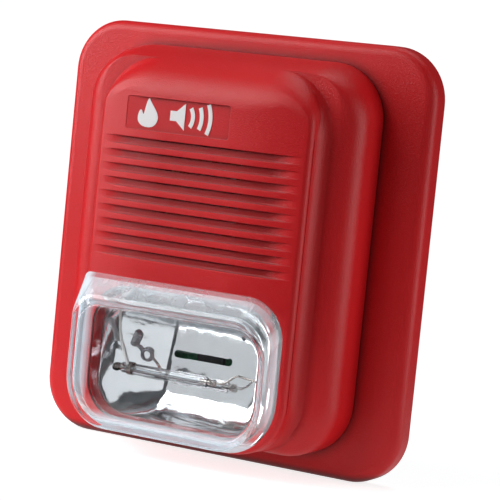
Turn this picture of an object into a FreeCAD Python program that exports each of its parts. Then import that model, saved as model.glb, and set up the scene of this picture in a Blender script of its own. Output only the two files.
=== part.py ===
import FreeCAD, Part
import Sketcher
import math
import os

# Wall-mounted fire alarm sounder with xenon strobe.
# Frame: +X to the right seen from the front, +Z up, -Y out of the wall.
# Origin: centre of the back face, on the wall plane.  Depths "d" below are
# distances out from the wall, so a depth d is the plane Y = -d.

V = FreeCAD.Vector
doc = FreeCAD.newDocument("wall_sounder")

# ---------------------------------------------------------------- dimensions
DIMS = [
    ("frame_w", 143.7), ("frame_ht", 150.0), ("frame_dp", 8.7), ("frame_rad", 18.4),
    ("frame_wall", 2.5), ("frame_edge", 3.6),
    ("open_half", 49.5), ("open_top", 63.5), ("open_bot", 62.5), ("open_rad", 14.0),
    ("boss_x", 60.5), ("boss_z", 63.5),
    ("plate_half_w", 69.0), ("plate_half_h", 72.1), ("plate_rad", 15.4), ("plate_thk", 2.5),
    ("slot_pitch", 60.0), ("slot_len", 9.0), ("slot_wid", 4.5),
    ("wall_px", 80.0), ("wall_pz", 96.0), ("wall_hole", 4.5),
    ("entry_z", 8.0), ("entry_rad", 10.0), ("cable_rad", 3.5),
    ("shell_half", 54.1), ("shell_top", 67.65), ("shell_bot", 67.45), ("shell_rad", 19.3),
    ("shell_back", 9.2), ("shell_dp", 28.5), ("shell_edge", 8.0), ("wall_thk", 2.2),
    ("dome_half", 41.6), ("dome_dp", 38.6), ("dome_rad", 19.0), ("dome_edge", 9.0),
    ("dome_top_rad", 18.0), ("dome_bot_rad", 3.0),
    ("groove_n", 9), ("groove_pitch", 4.83), ("groove_ht", 2.8), ("groove_dp", 1.5),
    ("groove_half", 37.7), ("groove_low", -6.2), ("slit_ht", 0.8), ("slit_half", 17.0),
    ("label_x0", -29.9), ("label_x1", 11.2), ("label_z0", 38.0), ("label_z1", 49.9),
    ("label_dp", 1.0), ("ink_thk", 0.15),
    ("lead_x", 35.2), ("lens_open", 35.0), ("lens_open_top", -16.9), ("lens_open_bot", -62.9),
    ("lens_open_rad", 14.0), ("lens_seat_dp", 32.0),
    ("lens_half", 39.7), ("lens_top", -13.0), ("lens_bot", -66.6), ("lens_rad", 15.5),
    ("lens_front", 48.6), ("lens_wall", 1.8), ("lens_edge", 2.6), ("lens_draft", 1.7), ("lens_ramp", 6.8),
    ("refl_rim", 34.3), ("refl_back_dp", 16.0), ("refl_thk", 1.2),
    ("tube_rad", 1.9), ("tube_x0", -27.0), ("tube_x1", 7.0), ("tube_z", -46.0), ("tube_dp", 27.5),
    ("board_dp", 9.4), ("board_thk", 1.6), ("board_half", 49.0), ("board_top", 58.0),
    ("board_bot", 54.0), ("board_rad", 13.0), ("post_x", 45.5), ("post_zt", 45.0), ("post_zb", -40.0),
    ("post_rad", 3.0),
    ("horn_z", 16.0), ("horn_rad", 27.0), ("horn_back_dp", 14.0), ("disc_rad", 20.5), ("disc_dp", 26.0),
    ("hook_x", 28.0), ("hook_w", 10.0), ("hook_thk", 2.0), ("hook_lip", 3.0),
    ("lock_dp", 12.8), ("lock_rad", 1.5), ("lock_travel", 3.0), ("ear_z0", -60.4), ("ear_thk", 2.5),
    ("ear_half", 5.5), ("ear_dp", 19.0), ("nut_z0", -57.4), ("nut_thk", 1.5),
    ("slider_travel", 1.2),
]
sheet = doc.addObject("Spreadsheet::Sheet", "Dims")


class E:
    """A length that keeps both its value and the sheet expression it came from."""

    def __init__(self, text, value):
        self.t = text
        self.v = float(value)

    def __add__(self, o):
        o = num(o)
        return E("(%s + %s)" % (self.t, o.t), self.v + o.v)

    __radd__ = __add__

    def __sub__(self, o):
        o = num(o)
        return E("(%s - %s)" % (self.t, o.t), self.v - o.v)

    def __rsub__(self, o):
        return num(o) - self

    def __mul__(self, o):
        o = num(o)
        return E("(%s * %s)" % (self.t, o.t), self.v * o.v)

    __rmul__ = __mul__

    def __truediv__(self, o):
        o = num(o)
        return E("(%s / %s)" % (self.t, o.t), self.v / o.v)

    def __neg__(self):
        return E("(0 - %s)" % self.t, -self.v)


def num(x):
    return x if isinstance(x, E) else E("(%.6f)" % x if x < 0 else "%.6f" % x, x)


class Sizes:
    pass


g = Sizes()
for row, (alias, value) in enumerate(DIMS, 1):
    sheet.set("A%d" % row, alias)
    sheet.set("B%d" % row, "%s" % value)
    sheet.setAlias("B%d" % row, alias)
    setattr(g, alias, E("Dims.%s" % alias, value))
doc.recompute()

NODES = []


def keep(obj, label):
    obj.Label = label
    NODES.append(obj)
    return obj


# ---------------------------------------------------------- sketch utilities
def origin_plane(body, role):
    for f in body.Origin.OriginFeatures:
        if f.Role == role:
            return f
    raise RuntimeError("no plane " + role)


def new_body(name, many=False):
    b = doc.addObject("PartDesign::Body", name)
    if many and hasattr(b, "AllowCompound"):
        b.AllowCompound = True
    return b


def sketch(body, off=0.0, role="XZ_Plane"):
    s = body.newObject("Sketcher::SketchObject", body.Name + "_sk")
    s.AttachmentSupport = [(origin_plane(body, role), "")]
    s.MapMode = "FlatFace"
    off = num(off)
    if abs(off.v) > 1e-9:
        s.AttachmentOffset = FreeCAD.Placement(V(0, 0, off.v), FreeCAD.Rotation())
        s.setExpression("AttachmentOffset.Base.z", off.t)
    return s


def place_point(s, geo, pos, x, y):
    for kind, val, axis in (("DistanceX", x, -2), ("DistanceY", y, -1)):
        if abs(val.v) < 1e-9:
            s.addConstraint(Sketcher.Constraint("PointOnObject", geo, pos, axis))
        else:
            i = s.addConstraint(Sketcher.Constraint(kind, -1, 1, geo, pos, val.v))
            s.setExpression("Constraints[%d]" % i, val.t)


def circle(s, x, y, r):
    x, y, r = num(x), num(y), num(r)
    n = s.addGeometry(Part.Circle(V(x.v, y.v, 0), V(0, 0, 1), r.v), False)
    i = s.addConstraint(Sketcher.Constraint("Radius", n, r.v))
    s.setExpression("Constraints[%d]" % i, r.t)
    place_point(s, n, 3, x, y)


def poly(s, pts):
    pts = [(num(a), num(b)) for a, b in pts]
    n0 = s.GeometryCount
    k = len(pts)
    for i in range(k):
        a, b = pts[i], pts[(i + 1) % k]
        s.addGeometry(Part.LineSegment(V(a[0].v, a[1].v, 0), V(b[0].v, b[1].v, 0)), False)
    for i in range(k):
        s.addConstraint(Sketcher.Constraint("Coincident", n0 + i, 2, n0 + (i + 1) % k, 1))
    for i in range(k):
        place_point(s, n0 + i, 1, pts[i][0], pts[i][1])


def rect(s, x0, x1, y0, y1):
    poly(s, [(x0, y0), (x1, y0), (x1, y1), (x0, y1)])


def rrect(s, x0, x1, y0, y1, r):
    x0, x1, y0, y1, r = [num(q) for q in (x0, x1, y0, y1, r)]
    a, b, c, d, q = x0.v, x1.v, y0.v, y1.v, r.v
    n = s.GeometryCount

    def seg(p0, p1):
        return Part.LineSegment(V(p0[0], p0[1], 0), V(p1[0], p1[1], 0))

    def arc(cx, cy, a0):
        c0 = Part.Circle(V(cx, cy, 0), V(0, 0, 1), q)
        return Part.ArcOfCircle(c0, math.radians(a0), math.radians(a0 + 90))

    s.addGeometry([seg((a + q, c), (b - q, c)), seg((b, c + q), (b, d - q)),
                   seg((b - q, d), (a + q, d)), seg((a, d - q), (a, c + q)),
                   arc(b - q, c + q, 270), arc(b - q, d - q, 0),
                   arc(a + q, d - q, 90), arc(a + q, c + q, 180)], False)
    C = Sketcher.Constraint
    cons = []
    for i in range(4):
        cons.append(C("Tangent", n + i, 2, n + 4 + i, 1))
        cons.append(C("Tangent", n + 4 + i, 2, n + (i + 1) % 4, 1))
    cons += [C("Horizontal", n), C("Horizontal", n + 2), C("Vertical", n + 1), C("Vertical", n + 3)]
    cons += [C("Equal", n + 4, n + 5), C("Equal", n + 4, n + 6), C("Equal", n + 4, n + 7)]
    s.addConstraint(cons)
    for con, e in ((C("Radius", n + 4, q), r),
                   (C("DistanceX", -1, 1, n + 3, 1, a), x0), (C("DistanceX", -1, 1, n + 1, 1, b), x1),
                   (C("DistanceY", -1, 1, n, 1, c), y0), (C("DistanceY", -1, 1, n + 2, 1, d), y1)):
        i = s.addConstraint(con)
        s.setExpression("Constraints[%d]" % i, e.t)


def pad(body, s, length, back=False):
    p = body.newObject("PartDesign::Pad", body.Name + "_pad")
    p.Profile = s
    length = num(length)
    p.Length = length.v
    p.setExpression("Length", length.t)
    p.Reversed = back
    doc.recompute()
    return p


def pocket(body, s, length, front=False):
    """Cuts towards the wall; front=True cuts towards the viewer."""
    before = body.Shape.Volume
    p = body.newObject("PartDesign::Pocket", body.Name + "_cut")
    p.Profile = s
    length = num(length)
    p.Length = length.v
    p.setExpression("Length", length.t)
    p.Reversed = front
    doc.recompute()
    if not body.Shape.Volume < before - 1e-6:
        raise RuntimeError("pocket removed nothing in " + body.Name)
    return p


def revolve(body, s, groove=False):
    """Turns the profile about the sketch's own vertical axis."""
    before = body.Shape.Volume if groove else 0
    p = body.newObject("PartDesign::Groove" if groove else "PartDesign::Revolution", body.Name + "_rev")
    p.Profile = s
    p.ReferenceAxis = (s, ["V_Axis"])
    p.Angle = 360.0
    doc.recompute()
    if groove and not body.Shape.Volume < before - 1e-6:
        raise RuntimeError("groove removed nothing in " + body.Name)
    return p


def at_depth(e, d):
    bb = e.BoundBox
    return abs(bb.YMin + d) < 1e-3 and abs(bb.YMax + d) < 1e-3


def fillet(body, test, r, kind="PartDesign::Fillet"):
    base = body.Tip
    names = ["Edge%d" % (i + 1) for i, e in enumerate(base.Shape.Edges) if test(e)]
    if not names:
        raise RuntimeError("no edges for a fillet in " + body.Name)
    f = body.newObject(kind, body.Name + "_edge")
    f.Base = (base, names)
    r = num(r)
    if kind == "PartDesign::Fillet":
        f.Radius = r.v
        f.setExpression("Radius", r.t)
    else:
        f.Size = r.v
        f.setExpression("Size", r.t)
    doc.recompute()
    return f


# ------------------------------------------------------- primitive utilities
TO_FRONT = FreeCAD.Rotation(V(1, 0, 0), 90)      # a primitive's +Z turned to -Y
ALONG_X = FreeCAD.Rotation(V(0, 1, 0), 90)       # a primitive's +Z turned to +X


def set_base(o, x, y, z, rot=None):
    x, y, z = num(x), num(y), num(z)
    o.Placement = FreeCAD.Placement(V(x.v, y.v, z.v), rot or FreeCAD.Rotation())
    for k, q in (("x", x), ("y", y), ("z", z)):
        if "Dims" in q.t:
            o.setExpression("Placement.Base." + k, q.t)


def size(o, **kw):
    for k, q in kw.items():
        q = num(q)
        setattr(o, k, q.v)
        if "Dims" in q.t:
            o.setExpression(k, q.t)


def box(name, x0, x1, z0, z1, d0, d1):
    x0, x1, z0, z1, d0, d1 = [num(q) for q in (x0, x1, z0, z1, d0, d1)]
    o = doc.addObject("Part::Box", name)
    size(o, Length=x1 - x0, Width=d1 - d0, Height=z1 - z0)
    set_base(o, x0, -d1, z0)
    return o


def cyl(name, r, x, z, d0, d1):
    o = doc.addObject("Part::Cylinder", name)
    size(o, Radius=r, Height=num(d1) - d0)
    set_base(o, x, -num(d0), z, TO_FRONT)
    return o


def cyl_x(name, r, x0, x1, z, d):
    o = doc.addObject("Part::Cylinder", name)
    size(o, Radius=r, Height=num(x1) - x0)
    set_base(o, x0, -num(d), z, ALONG_X)
    return o


def cyl_z(name, r, x, d, z0, z1):
    o = doc.addObject("Part::Cylinder", name)
    size(o, Radius=r, Height=num(z1) - z0)
    set_base(o, x, -num(d), z0)
    return o


def ball(name, r, x, z, d):
    o = doc.addObject("Part::Sphere", name)
    size(o, Radius=r)
    set_base(o, x, -num(d), z)
    return o


def ring_x(name, r1, r2, x, z, d):
    o = doc.addObject("Part::Torus", name)
    size(o, Radius1=r1, Radius2=r2)
    set_base(o, x, -num(d), z, ALONG_X)
    return o


def fuse(name, parts):
    o = doc.addObject("Part::MultiFuse", name)
    o.Shapes = parts
    o.Refine = True
    return o


def cut(name, base, tool):
    o = doc.addObject("Part::Cut", name)
    o.Base = base
    o.Tool = tool
    return o


def group(name, parts):
    o = doc.addObject("Part::Compound", name)
    o.Links = parts
    return o


def soften(name, base, r, test=lambda e: True):
    doc.recompute()
    o = doc.addObject("Part::Fillet", name)
    o.Base = base
    o.Edges = [(i + 1, r, r) for i, e in enumerate(base.Shape.Edges) if test(e)]
    return o


def plus(s, x, y, a, w):
    """A cross-shaped outline, arm length a, arm width w."""
    x, y = num(x), num(y)
    h = w / 2.0
    pts = [(-h, -a), (h, -a), (h, -h), (a, -h), (a, h), (h, h),
           (h, a), (-h, a), (-h, h), (-a, h), (-a, -h), (-h, -h)]
    poly(s, [(x + p, y + q) for p, q in pts])


def screws(label, spots, head_r, head_h, shank_r, shank_l, seat, to_front):
    """Cross-recessed screws standing along Y.  seat is the depth of the face
    under the heads; to_front is True where the heads look out of the wall."""
    b = new_body(label, many=True)
    seat = num(seat)
    s = sketch(b, seat)
    for x, z in spots:
        circle(s, x, z, head_r)
    pad(b, s, head_h, back=not to_front)
    if to_front:
        fillet(b, lambda e: at_depth(e, (seat + head_h).v), head_h * 0.45)
    else:
        fillet(b, lambda e: at_depth(e, (seat - head_h).v), head_h * 0.45)
    s = sketch(b, seat)
    for x, z in spots:
        circle(s, x, z, shank_r)
    pad(b, s, shank_l, back=to_front)
    s = sketch(b, seat + head_h + 0.01 if to_front else seat - head_h - 0.01)
    for x, z in spots:
        plus(s, x, z, head_r * 0.62, head_r * 0.26)
    pocket(b, s, head_h * 0.6, front=not to_front)
    return keep(b, label)


# ====================================================== fixed to the wall
# Outer frame: a shallow hollow tray with rounded corners, its front open in
# the middle, four screw bosses behind it and two windows for the hooks.
b = new_body("outer_frame")
s = sketch(b)
rrect(s, -g.frame_w / 2, g.frame_w / 2, -g.frame_ht / 2, g.frame_ht / 2, g.frame_rad)
pad(b, s, g.frame_dp)
fillet(b, lambda e: at_depth(e, g.frame_dp.v), g.frame_edge)
s = sketch(b)
rrect(s, g.frame_wall - g.frame_w / 2, g.frame_w / 2 - g.frame_wall,
      g.frame_wall - g.frame_ht / 2, g.frame_ht / 2 - g.frame_wall, g.frame_rad - g.frame_wall)
pocket(b, s, g.frame_dp - g.frame_wall, front=True)
s = sketch(b, g.frame_dp)
rrect(s, -g.open_half, g.open_half, -g.open_bot, g.open_top, g.open_rad)
pocket(b, s, g.frame_wall + 0.5)
s = sketch(b, g.frame_dp)
for sx in (-1, 1):
    rect(s, g.hook_x * sx - g.hook_w / 2 - 1.0, g.hook_x * sx + g.hook_w / 2 + 1.0,
         g.open_top - 2.0, g.shell_top - 0.65)
pocket(b, s, g.frame_wall + 0.5)
s = sketch(b, g.plate_thk)
for sx in (-1, 1):
    for sz in (-1, 1):
        circle(s, g.boss_x * sx, g.boss_z * sz, 3.6)
pad(b, s, g.frame_dp - g.frame_wall - g.plate_thk + 0.2)
s = sketch(b, g.plate_thk)
for sx in (-1, 1):
    for sz in (-1, 1):
        circle(s, g.boss_x * sx, g.boss_z * sz, 1.2)
pocket(b, s, 4.6, front=True)
outer_frame = keep(b, "outer_frame")

# Back plate: flat plate inside the frame's skirt, with slots for a wall box,
# four corner holes for a bare wall, the cable hole and the locking ear.
b = new_body("back_plate")
s = sketch(b)
rrect(s, -g.plate_half_w, g.plate_half_w, -g.plate_half_h, g.plate_half_h, g.plate_rad)
pad(b, s, g.plate_thk)
s = sketch(b, g.plate_thk)
for sx in (-1, 1):
    rrect(s, g.slot_pitch / 2 * sx - g.slot_len / 2, g.slot_pitch / 2 * sx + g.slot_len / 2,
          -g.slot_wid / 2, g.slot_wid / 2, g.slot_wid / 2 - 0.001)
pocket(b, s, g.plate_thk + 0.5)
s = sketch(b, g.plate_thk)
for sx in (-1, 1):
    for sz in (-1, 1):
        circle(s, g.wall_px / 2 * sx, g.wall_pz / 2 * sz, g.wall_hole / 2)
circle(s, 0, g.entry_z, g.entry_rad)
pocket(b, s, g.plate_thk + 0.5)
s = sketch(b, g.plate_thk)
for sx in (-1, 1):
    for sz in (-1, 1):
        circle(s, g.boss_x * sx, g.boss_z * sz, 1.5)
pocket(b, s, g.plate_thk + 0.5)
s = sketch(b)
for sx in (-1, 1):
    for sz in (-1, 1):
        circle(s, g.boss_x * sx, g.boss_z * sz, 3.1)
pocket(b, s, 1.4, front=True)
s = sketch(b, g.plate_thk - 0.2)
rect(s, -g.ear_half, g.ear_half, g.ear_z0, g.ear_z0 + g.ear_thk)
pad(b, s, g.ear_dp - g.plate_thk + 0.2)
s = sketch(b, g.plate_thk - 0.2)
for sx in (-1, 1):
    rect(s, g.ear_half * sx - 0.9, g.ear_half * sx + 0.9, g.ear_z0 + g.ear_thk - 0.2, g.ear_z0 + g.ear_thk + 4.0)
pad(b, s, 4.0)
s = sketch(b, g.ear_dp)
rect(s, -(g.lock_rad + 0.35), g.lock_rad + 0.35, g.ear_z0 - 1, g.ear_z0 + g.ear_thk + 1)
pocket(b, s, g.ear_dp - g.lock_dp + g.lock_rad + 0.35)
s = sketch(b, g.plate_thk - 0.2)
rrect(s, -22.0, 22.0, g.entry_z - 22, g.entry_z + 22, 6.0)
rrect(s, -20.4, 20.4, g.entry_z - 20.4, g.entry_z + 20.4, 4.4)
pad(b, s, 1.4)
back_plate = keep(b, "back_plate")

# Frame screws: four countersunk-style screws put in from the wall side.
screws("frame_screws", [(g.boss_x * sx, g.boss_z * sz) for sx in (-1, 1) for sz in (-1, 1)],
       2.8, 1.1, 1.15, 5.0, 1.4, False)

# Cable grommet: rubber ring snapped into the cable hole.
b = new_body("cable_grommet")
s = sketch(b, 0.3)
circle(s, 0, g.entry_z, g.entry_rad - 0.1)
pad(b, s, g.plate_thk - 0.2)
s = sketch(b, g.plate_thk + 0.05)
circle(s, 0, g.entry_z, g.entry_rad + 2.2)
pad(b, s, 1.3)
s = sketch(b, g.plate_thk + 1.35)
circle(s, 0, g.entry_z, g.cable_rad)
pocket(b, s, 6.0)
fillet(b, lambda e: at_depth(e, g.plate_thk.v + 1.35) and e.BoundBox.XMax > 5, 0.5)
keep(b, "cable_grommet")

# ====================================================== front unit
# Front cover.  The lower stage is a rounded box, the upper dome is narrower
# and deeper; both are flush at top and bottom.
def stage(name, inset, back, front_cut, side_r, corner_r):
    """Lower stage of the cover, or its hollow when inset is above zero."""
    body = new_body(name)
    sk = sketch(body, back)
    rrect(sk, -(g.shell_half - inset), g.shell_half - inset, -(g.shell_bot - inset), g.shell_top - inset, corner_r)
    pad(body, sk, g.shell_dp - front_cut - back)
    fillet(body, lambda e: at_depth(e, (g.shell_dp - front_cut).v), side_r)
    return body


def dome(name, inset, back, front_cut, side_r, corner_r, top_r, bot_r):
    """Upper dome: its side profile is padded across, then it is trimmed to the
    rounded outline and to the plan profile with its soft shoulders."""
    body = new_body(name)
    sk = sketch(body, 0.0, "YZ_Plane")
    yb, yf = -num(back), -(g.dome_dp - front_cut)
    zt, zb = g.shell_top - inset, -(g.shell_bot - inset)
    n = sk.GeometryCount
    P = [(yb.v, zb.v), (yb.v, zt.v), (yf.v + top_r.v, zt.v), (yf.v, zt.v - top_r.v), (yf.v, zb.v + bot_r.v),
         (yf.v + bot_r.v, zb.v)]
    L = [Part.LineSegment(V(P[0][0], P[0][1], 0), V(P[1][0], P[1][1], 0)),
         Part.LineSegment(V(P[1][0], P[1][1], 0), V(P[2][0], P[2][1], 0)),
         Part.ArcOfCircle(Part.Circle(V(P[2][0], P[3][1], 0), V(0, 0, 1), top_r.v), math.pi / 2, math.pi),
         Part.LineSegment(V(P[3][0], P[3][1], 0), V(P[4][0], P[4][1], 0)),
         Part.ArcOfCircle(Part.Circle(V(P[5][0], P[4][1], 0), V(0, 0, 1), bot_r.v), math.pi, 1.5 * math.pi),
         Part.LineSegment(V(P[5][0], P[5][1], 0), V(P[0][0], P[0][1], 0))]
    sk.addGeometry(L, False)
    C = Sketcher.Constraint
    sk.addConstraint([C("Coincident", n, 2, n + 1, 1), C("Tangent", n + 1, 2, n + 2, 1), C("Tangent", n + 2, 2, n + 3, 1),
                      C("Tangent", n + 3, 2, n + 4, 1), C("Tangent", n + 4, 2, n + 5, 1), C("Coincident", n + 5, 2, n, 1),
                      C("Vertical", n), C("Horizontal", n + 1), C("Vertical", n + 3), C("Horizontal", n + 5)])
    for con, e in ((C("Radius", n + 2, top_r.v), top_r), (C("Radius", n + 4, bot_r.v), bot_r),
                   (C("DistanceX", -1, 1, n, 1, yb.v), yb), (C("DistanceY", -1, 1, n, 1, zb.v), zb),
                   (C("DistanceY", -1, 1, n, 2, zt.v), zt), (C("DistanceX", -1, 1, n + 3, 1, yf.v), yf)):
        i = sk.addConstraint(con)
        sk.setExpression("Constraints[%d]" % i, e.t)
    p = pad(body, sk, (g.dome_half - inset) * 2)
    p.Midplane = True
    doc.recompute()
    sk = sketch(body, back)
    rect(sk, -g.shell_half * 2, g.shell_half * 2, -g.shell_top * 2, g.shell_top * 2)
    rrect(sk, -(g.dome_half - inset), g.dome_half - inset, zb, zt, corner_r)
    pocket(body, sk, g.dome_dp, front=True)
    sk = sketch(body, -90.0, "XY_Plane")
    rect(sk, -g.shell_half * 2, g.shell_half * 2, -g.dome_dp * 2, g.dome_dp * 2)
    rrect(sk, -(g.dome_half - inset), g.dome_half - inset, yf, g.dome_dp, side_r)
    pocket(body, sk, 180.0, front=True)
    return body


A = stage("cover_stage", num(0), g.shell_back, num(0), g.shell_edge, g.shell_rad)
B = dome("cover_dome", num(0), g.shell_back, num(0), g.dome_edge, g.dome_rad, g.dome_top_rad, g.dome_bot_rad)


Ai = stage("hollow_stage", g.wall_thk, num(0), g.wall_thk, g.shell_edge - g.wall_thk, g.shell_rad - g.wall_thk)
Bi = dome("hollow_dome", g.wall_thk, num(0), g.wall_thk + 0.1, g.dome_edge - g.wall_thk,
          g.dome_rad - g.wall_thk, g.dome_top_rad - g.wall_thk, g.dome_bot_rad - 1.0)

b = new_body("front_cover")
s = sketch(b, g.shell_back)
rrect(s, -g.shell_half, g.shell_half, -g.shell_bot, g.shell_top, g.shell_rad)
pad(b, s, g.shell_dp - g.shell_back)
fillet(b, lambda e: at_depth(e, g.shell_dp.v), g.shell_edge)
bo = b.newObject("PartDesign::Boolean", "cover_join")
bo.setObjects([B])
bo.Type = "Fuse"
doc.recompute()
bo = b.newObject("PartDesign::Boolean", "cover_hollow")
bo.setObjects([Ai, Bi])
bo.Type = "Cut"
doc.recompute()
# deep surround of the strobe opening
s = sketch(b, g.lens_seat_dp)
rrect(s, -(g.lens_open + 2), g.lens_open + 2, g.lens_open_bot - 2, g.lens_open_top + 2, g.lens_open_rad + 2)
pad(b, s, g.dome_dp - g.lens_seat_dp - 1.0)
s = sketch(b, g.dome_dp + 1)
rrect(s, -g.lens_open, g.lens_open, g.lens_open_bot, g.lens_open_top, g.lens_open_rad)
pocket(b, s, g.dome_dp - g.lens_seat_dp + 2)
# label recess
s = sketch(b, g.dome_dp + 1)
rrect(s, g.label_x0, g.label_x1, g.label_z0, g.label_z1, 0.8)
pocket(b, s, g.label_dp + 1)
# posts for the circuit board
s = sketch(b, g.board_dp + g.board_thk)
for sx in (-1, 1):
    for pz in (g.post_zt, g.post_zb):
        circle(s, g.post_x * sx, pz, g.post_rad)
pad(b, s, g.shell_dp - g.board_dp - g.board_thk - 1.5)
s = sketch(b, g.board_dp + g.board_thk)
for sx in (-1, 1):
    for pz in (g.post_zt, g.post_zb):
        circle(s, g.post_x * sx, pz, 1.1)
pocket(b, s, 9.0, front=True)
# hooks at the top edge, behind the frame's lip
for sx in (-1, 1):
    s = sketch(b, g.hook_x * sx - g.hook_w / 2, "YZ_Plane")
    zt = g.shell_top - 1.25
    yl = -(g.frame_dp - g.frame_wall - 0.3)
    poly(s, [(-(g.shell_back + 3), zt - g.hook_thk), (yl + g.hook_thk, zt - g.hook_thk),
             (yl + g.hook_thk, zt + g.hook_lip), (yl, zt + g.hook_lip), (yl, zt), (-(g.shell_back + 3), zt)])
    pad(b, s, g.hook_w)
# ribs that carry the lock plate, and the screw hole in the bottom wall
s = sketch(b, g.lock_dp - 3)
for sx in (-1, 1):
    rect(s, (g.ear_half + 0.9) * sx, (g.ear_half + 3.4) * sx, -(g.shell_bot - 1), g.nut_z0)
pad(b, s, 6.0)
s = sketch(b, -(g.shell_bot + 1), "XY_Plane")
circle(s, 0, -g.lock_dp, g.lock_rad + 0.35)
pocket(b, s, 6.0, front=True)
s = sketch(b, -(g.shell_bot + 1), "XY_Plane")
circle(s, 0, -g.lock_dp, 3.3)
pocket(b, s, 2.0, front=True)
# nine closed grooves across the dome, and a narrow sound slit in the roof of each
s = sketch(b, g.dome_dp + 1)
rrect(s, -g.groove_half, g.groove_half, g.groove_low, g.groove_low + g.groove_ht, 1.0)
gr = pocket(b, s, g.groove_dp + 1)
s = sketch(b, g.dome_dp - g.groove_dp + 0.2)
rect(s, -g.slit_half, g.slit_half, g.groove_low + g.groove_ht - g.slit_ht, g.groove_low + g.groove_ht)
sl = pocket(b, s, 2.0)
pt = b.newObject("PartDesign::LinearPattern", "groove_rows")
pt.Originals = [gr, sl]
pt.Direction = (s, ["V_Axis"])
pt.Occurrences = 9
pt.setExpression("Occurrences", "Dims.groove_n")
pt.Length = 8 * g.groove_pitch.v
pt.setExpression("Length", "(Dims.groove_n - 1) * Dims.groove_pitch")
v0 = b.Shape.Volume
b.Tip = pt
doc.recompute()
if not b.Shape.Volume < v0 - 1:
    raise RuntimeError("groove pattern added nothing")
front_cover = keep(b, "front_cover")

# Cover gasket: thin ring between the cover's rim and the frame.
b = new_body("cover_gasket")
s = sketch(b, g.frame_dp)
rrect(s, -(g.shell_half - 0.2), g.shell_half - 0.2, -(g.shell_bot - 0.2), g.shell_top - 0.2, g.shell_rad - 0.2)
rrect(s, -(g.shell_half - 1.2), g.shell_half - 1.2, -(g.shell_bot - 1.2), g.shell_top - 1.2, g.shell_rad - 1.2)
pad(b, s, g.shell_back - g.frame_dp)
keep(b, "cover_gasket")

# Strobe lens: clear hood with a plug rim that sits in the opening.
b = new_body("strobe_lens")
w = g.lens_wall
s1 = sketch(b, g.dome_dp)
rrect(s1, -g.lens_half, g.lens_half, g.lens_bot, g.lens_top, g.lens_rad)
s2 = sketch(b, g.lens_front)
rrect(s2, -(g.lens_half - g.lens_draft), g.lens_half - g.lens_draft, g.lens_bot + g.lens_draft, g.lens_top - g.lens_ramp, g.lens_rad - 1.5)
lo = b.newObject("PartDesign::AdditiveLoft", "lens_outer")
lo.Profile = s1
lo.Sections = [s2]
doc.recompute()
fillet(b, lambda e: at_depth(e, g.lens_front.v), g.lens_edge)
s3 = sketch(b, g.dome_dp)
rrect(s3, -(g.lens_half - w * 1.1), g.lens_half - w * 1.1, g.lens_bot + w * 1.1, g.lens_top - w * 1.3, g.lens_rad - 2.0)
s4 = sketch(b, g.lens_front - w)
rrect(s4, -(g.lens_half - g.lens_draft - w), g.lens_half - g.lens_draft - w, g.lens_bot + g.lens_draft + w, g.lens_top - g.lens_ramp - 1.2, g.lens_rad - 3.2)
v0 = b.Shape.Volume
lo = b.newObject("PartDesign::SubtractiveLoft", "lens_inner")
lo.Profile = s3
lo.Sections = [s4]
doc.recompute()
if not b.Shape.Volume < v0:
    raise RuntimeError("the lens was not hollowed")
s = sketch(b, g.dome_dp - 2.0)
rrect(s, -(g.lens_open - 0.3), g.lens_open - 0.3, g.lens_open_bot + 0.3, g.lens_open_top - 0.3, g.lens_open_rad - 0.3)
rrect(s, -(g.lens_open - 1.5), g.lens_open - 1.5, g.lens_open_bot + 1.5, g.lens_open_top - 1.5, g.lens_open_rad - 1.5)
pad(b, s, 4.0)
s = sketch(b, g.dome_dp)
rrect(s, -(g.lens_half - 0.1), g.lens_half - 0.1, g.lens_bot + 0.1, g.lens_top - 0.1, g.lens_rad - 0.1)
rrect(s, -(g.lens_open - 1.5), g.lens_open - 1.5, g.lens_open_bot + 1.5, g.lens_open_top - 1.5, g.lens_open_rad - 1.5)
pad(b, s, 1.2)
keep(b, "strobe_lens")

# Reflector: tapered bowl with a flat rim, pierced for the tube's two leads.
b = new_body("reflector")
s1 = sketch(b, g.refl_back_dp)
rrect(s1, -25.5, 25.5, -55.0, -23.0, 9.0)
s2 = sketch(b, g.lens_seat_dp - 0.05)
rrect(s2, -(g.refl_rim + g.refl_thk), g.refl_rim + g.refl_thk, -63.6, -15.9, 14.2)
lo = b.newObject("PartDesign::AdditiveLoft", "reflector_outer")
lo.Profile = s1
lo.Sections = [s2]
doc.recompute()
s = sketch(b, g.lens_seat_dp - 1.25)
rrect(s, -36.6, 36.6, -64.5, -15.3, 15.5)
pad(b, s, 1.2)
s3 = sketch(b, g.refl_back_dp + g.refl_thk)
rrect(s3, -24.3, 24.3, -53.8, -24.2, 8.0)
s4 = sketch(b, g.lens_seat_dp - 0.05)
rrect(s4, -g.refl_rim, g.refl_rim, -62.4, -17.1, 13.0)
v0 = b.Shape.Volume
lo = b.newObject("PartDesign::SubtractiveLoft", "reflector_inner")
lo.Profile = s3
lo.Sections = [s4]
doc.recompute()
if not b.Shape.Volume < v0:
    raise RuntimeError("the reflector's bowl was not cut")
s = sketch(b, g.lens_seat_dp)
circle(s, -29.2, g.tube_z, 1.5)
rrect(s, -12.5, 11.0, -40.6, -37.8, 1.3)
pocket(b, s, 20.0)
s = sketch(b, 28.0, "YZ_Plane")
circle(s, -(g.tube_dp + 0.0), g.tube_z, 0.9)
pocket(b, s, 8.0, front=True)
s = sketch(b, g.lens_seat_dp)
circle(s, -20.0, -31.0, 1.35)
circle(s, 14.0, -30.0, 1.35)
pocket(b, s, 20.0)
s = sketch(b, -24.0, "XY_Plane")
circle(s, g.tube_x0 + 2.5, -(g.tube_dp + 2.2), 0.9)
pocket(b, s, 12.0, front=True)
s = sketch(b, g.board_dp + g.board_thk)
for x, z in ((-20.0, -31.0), (14.0, -30.0)):
    circle(s, x, z, 2.6)
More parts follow.
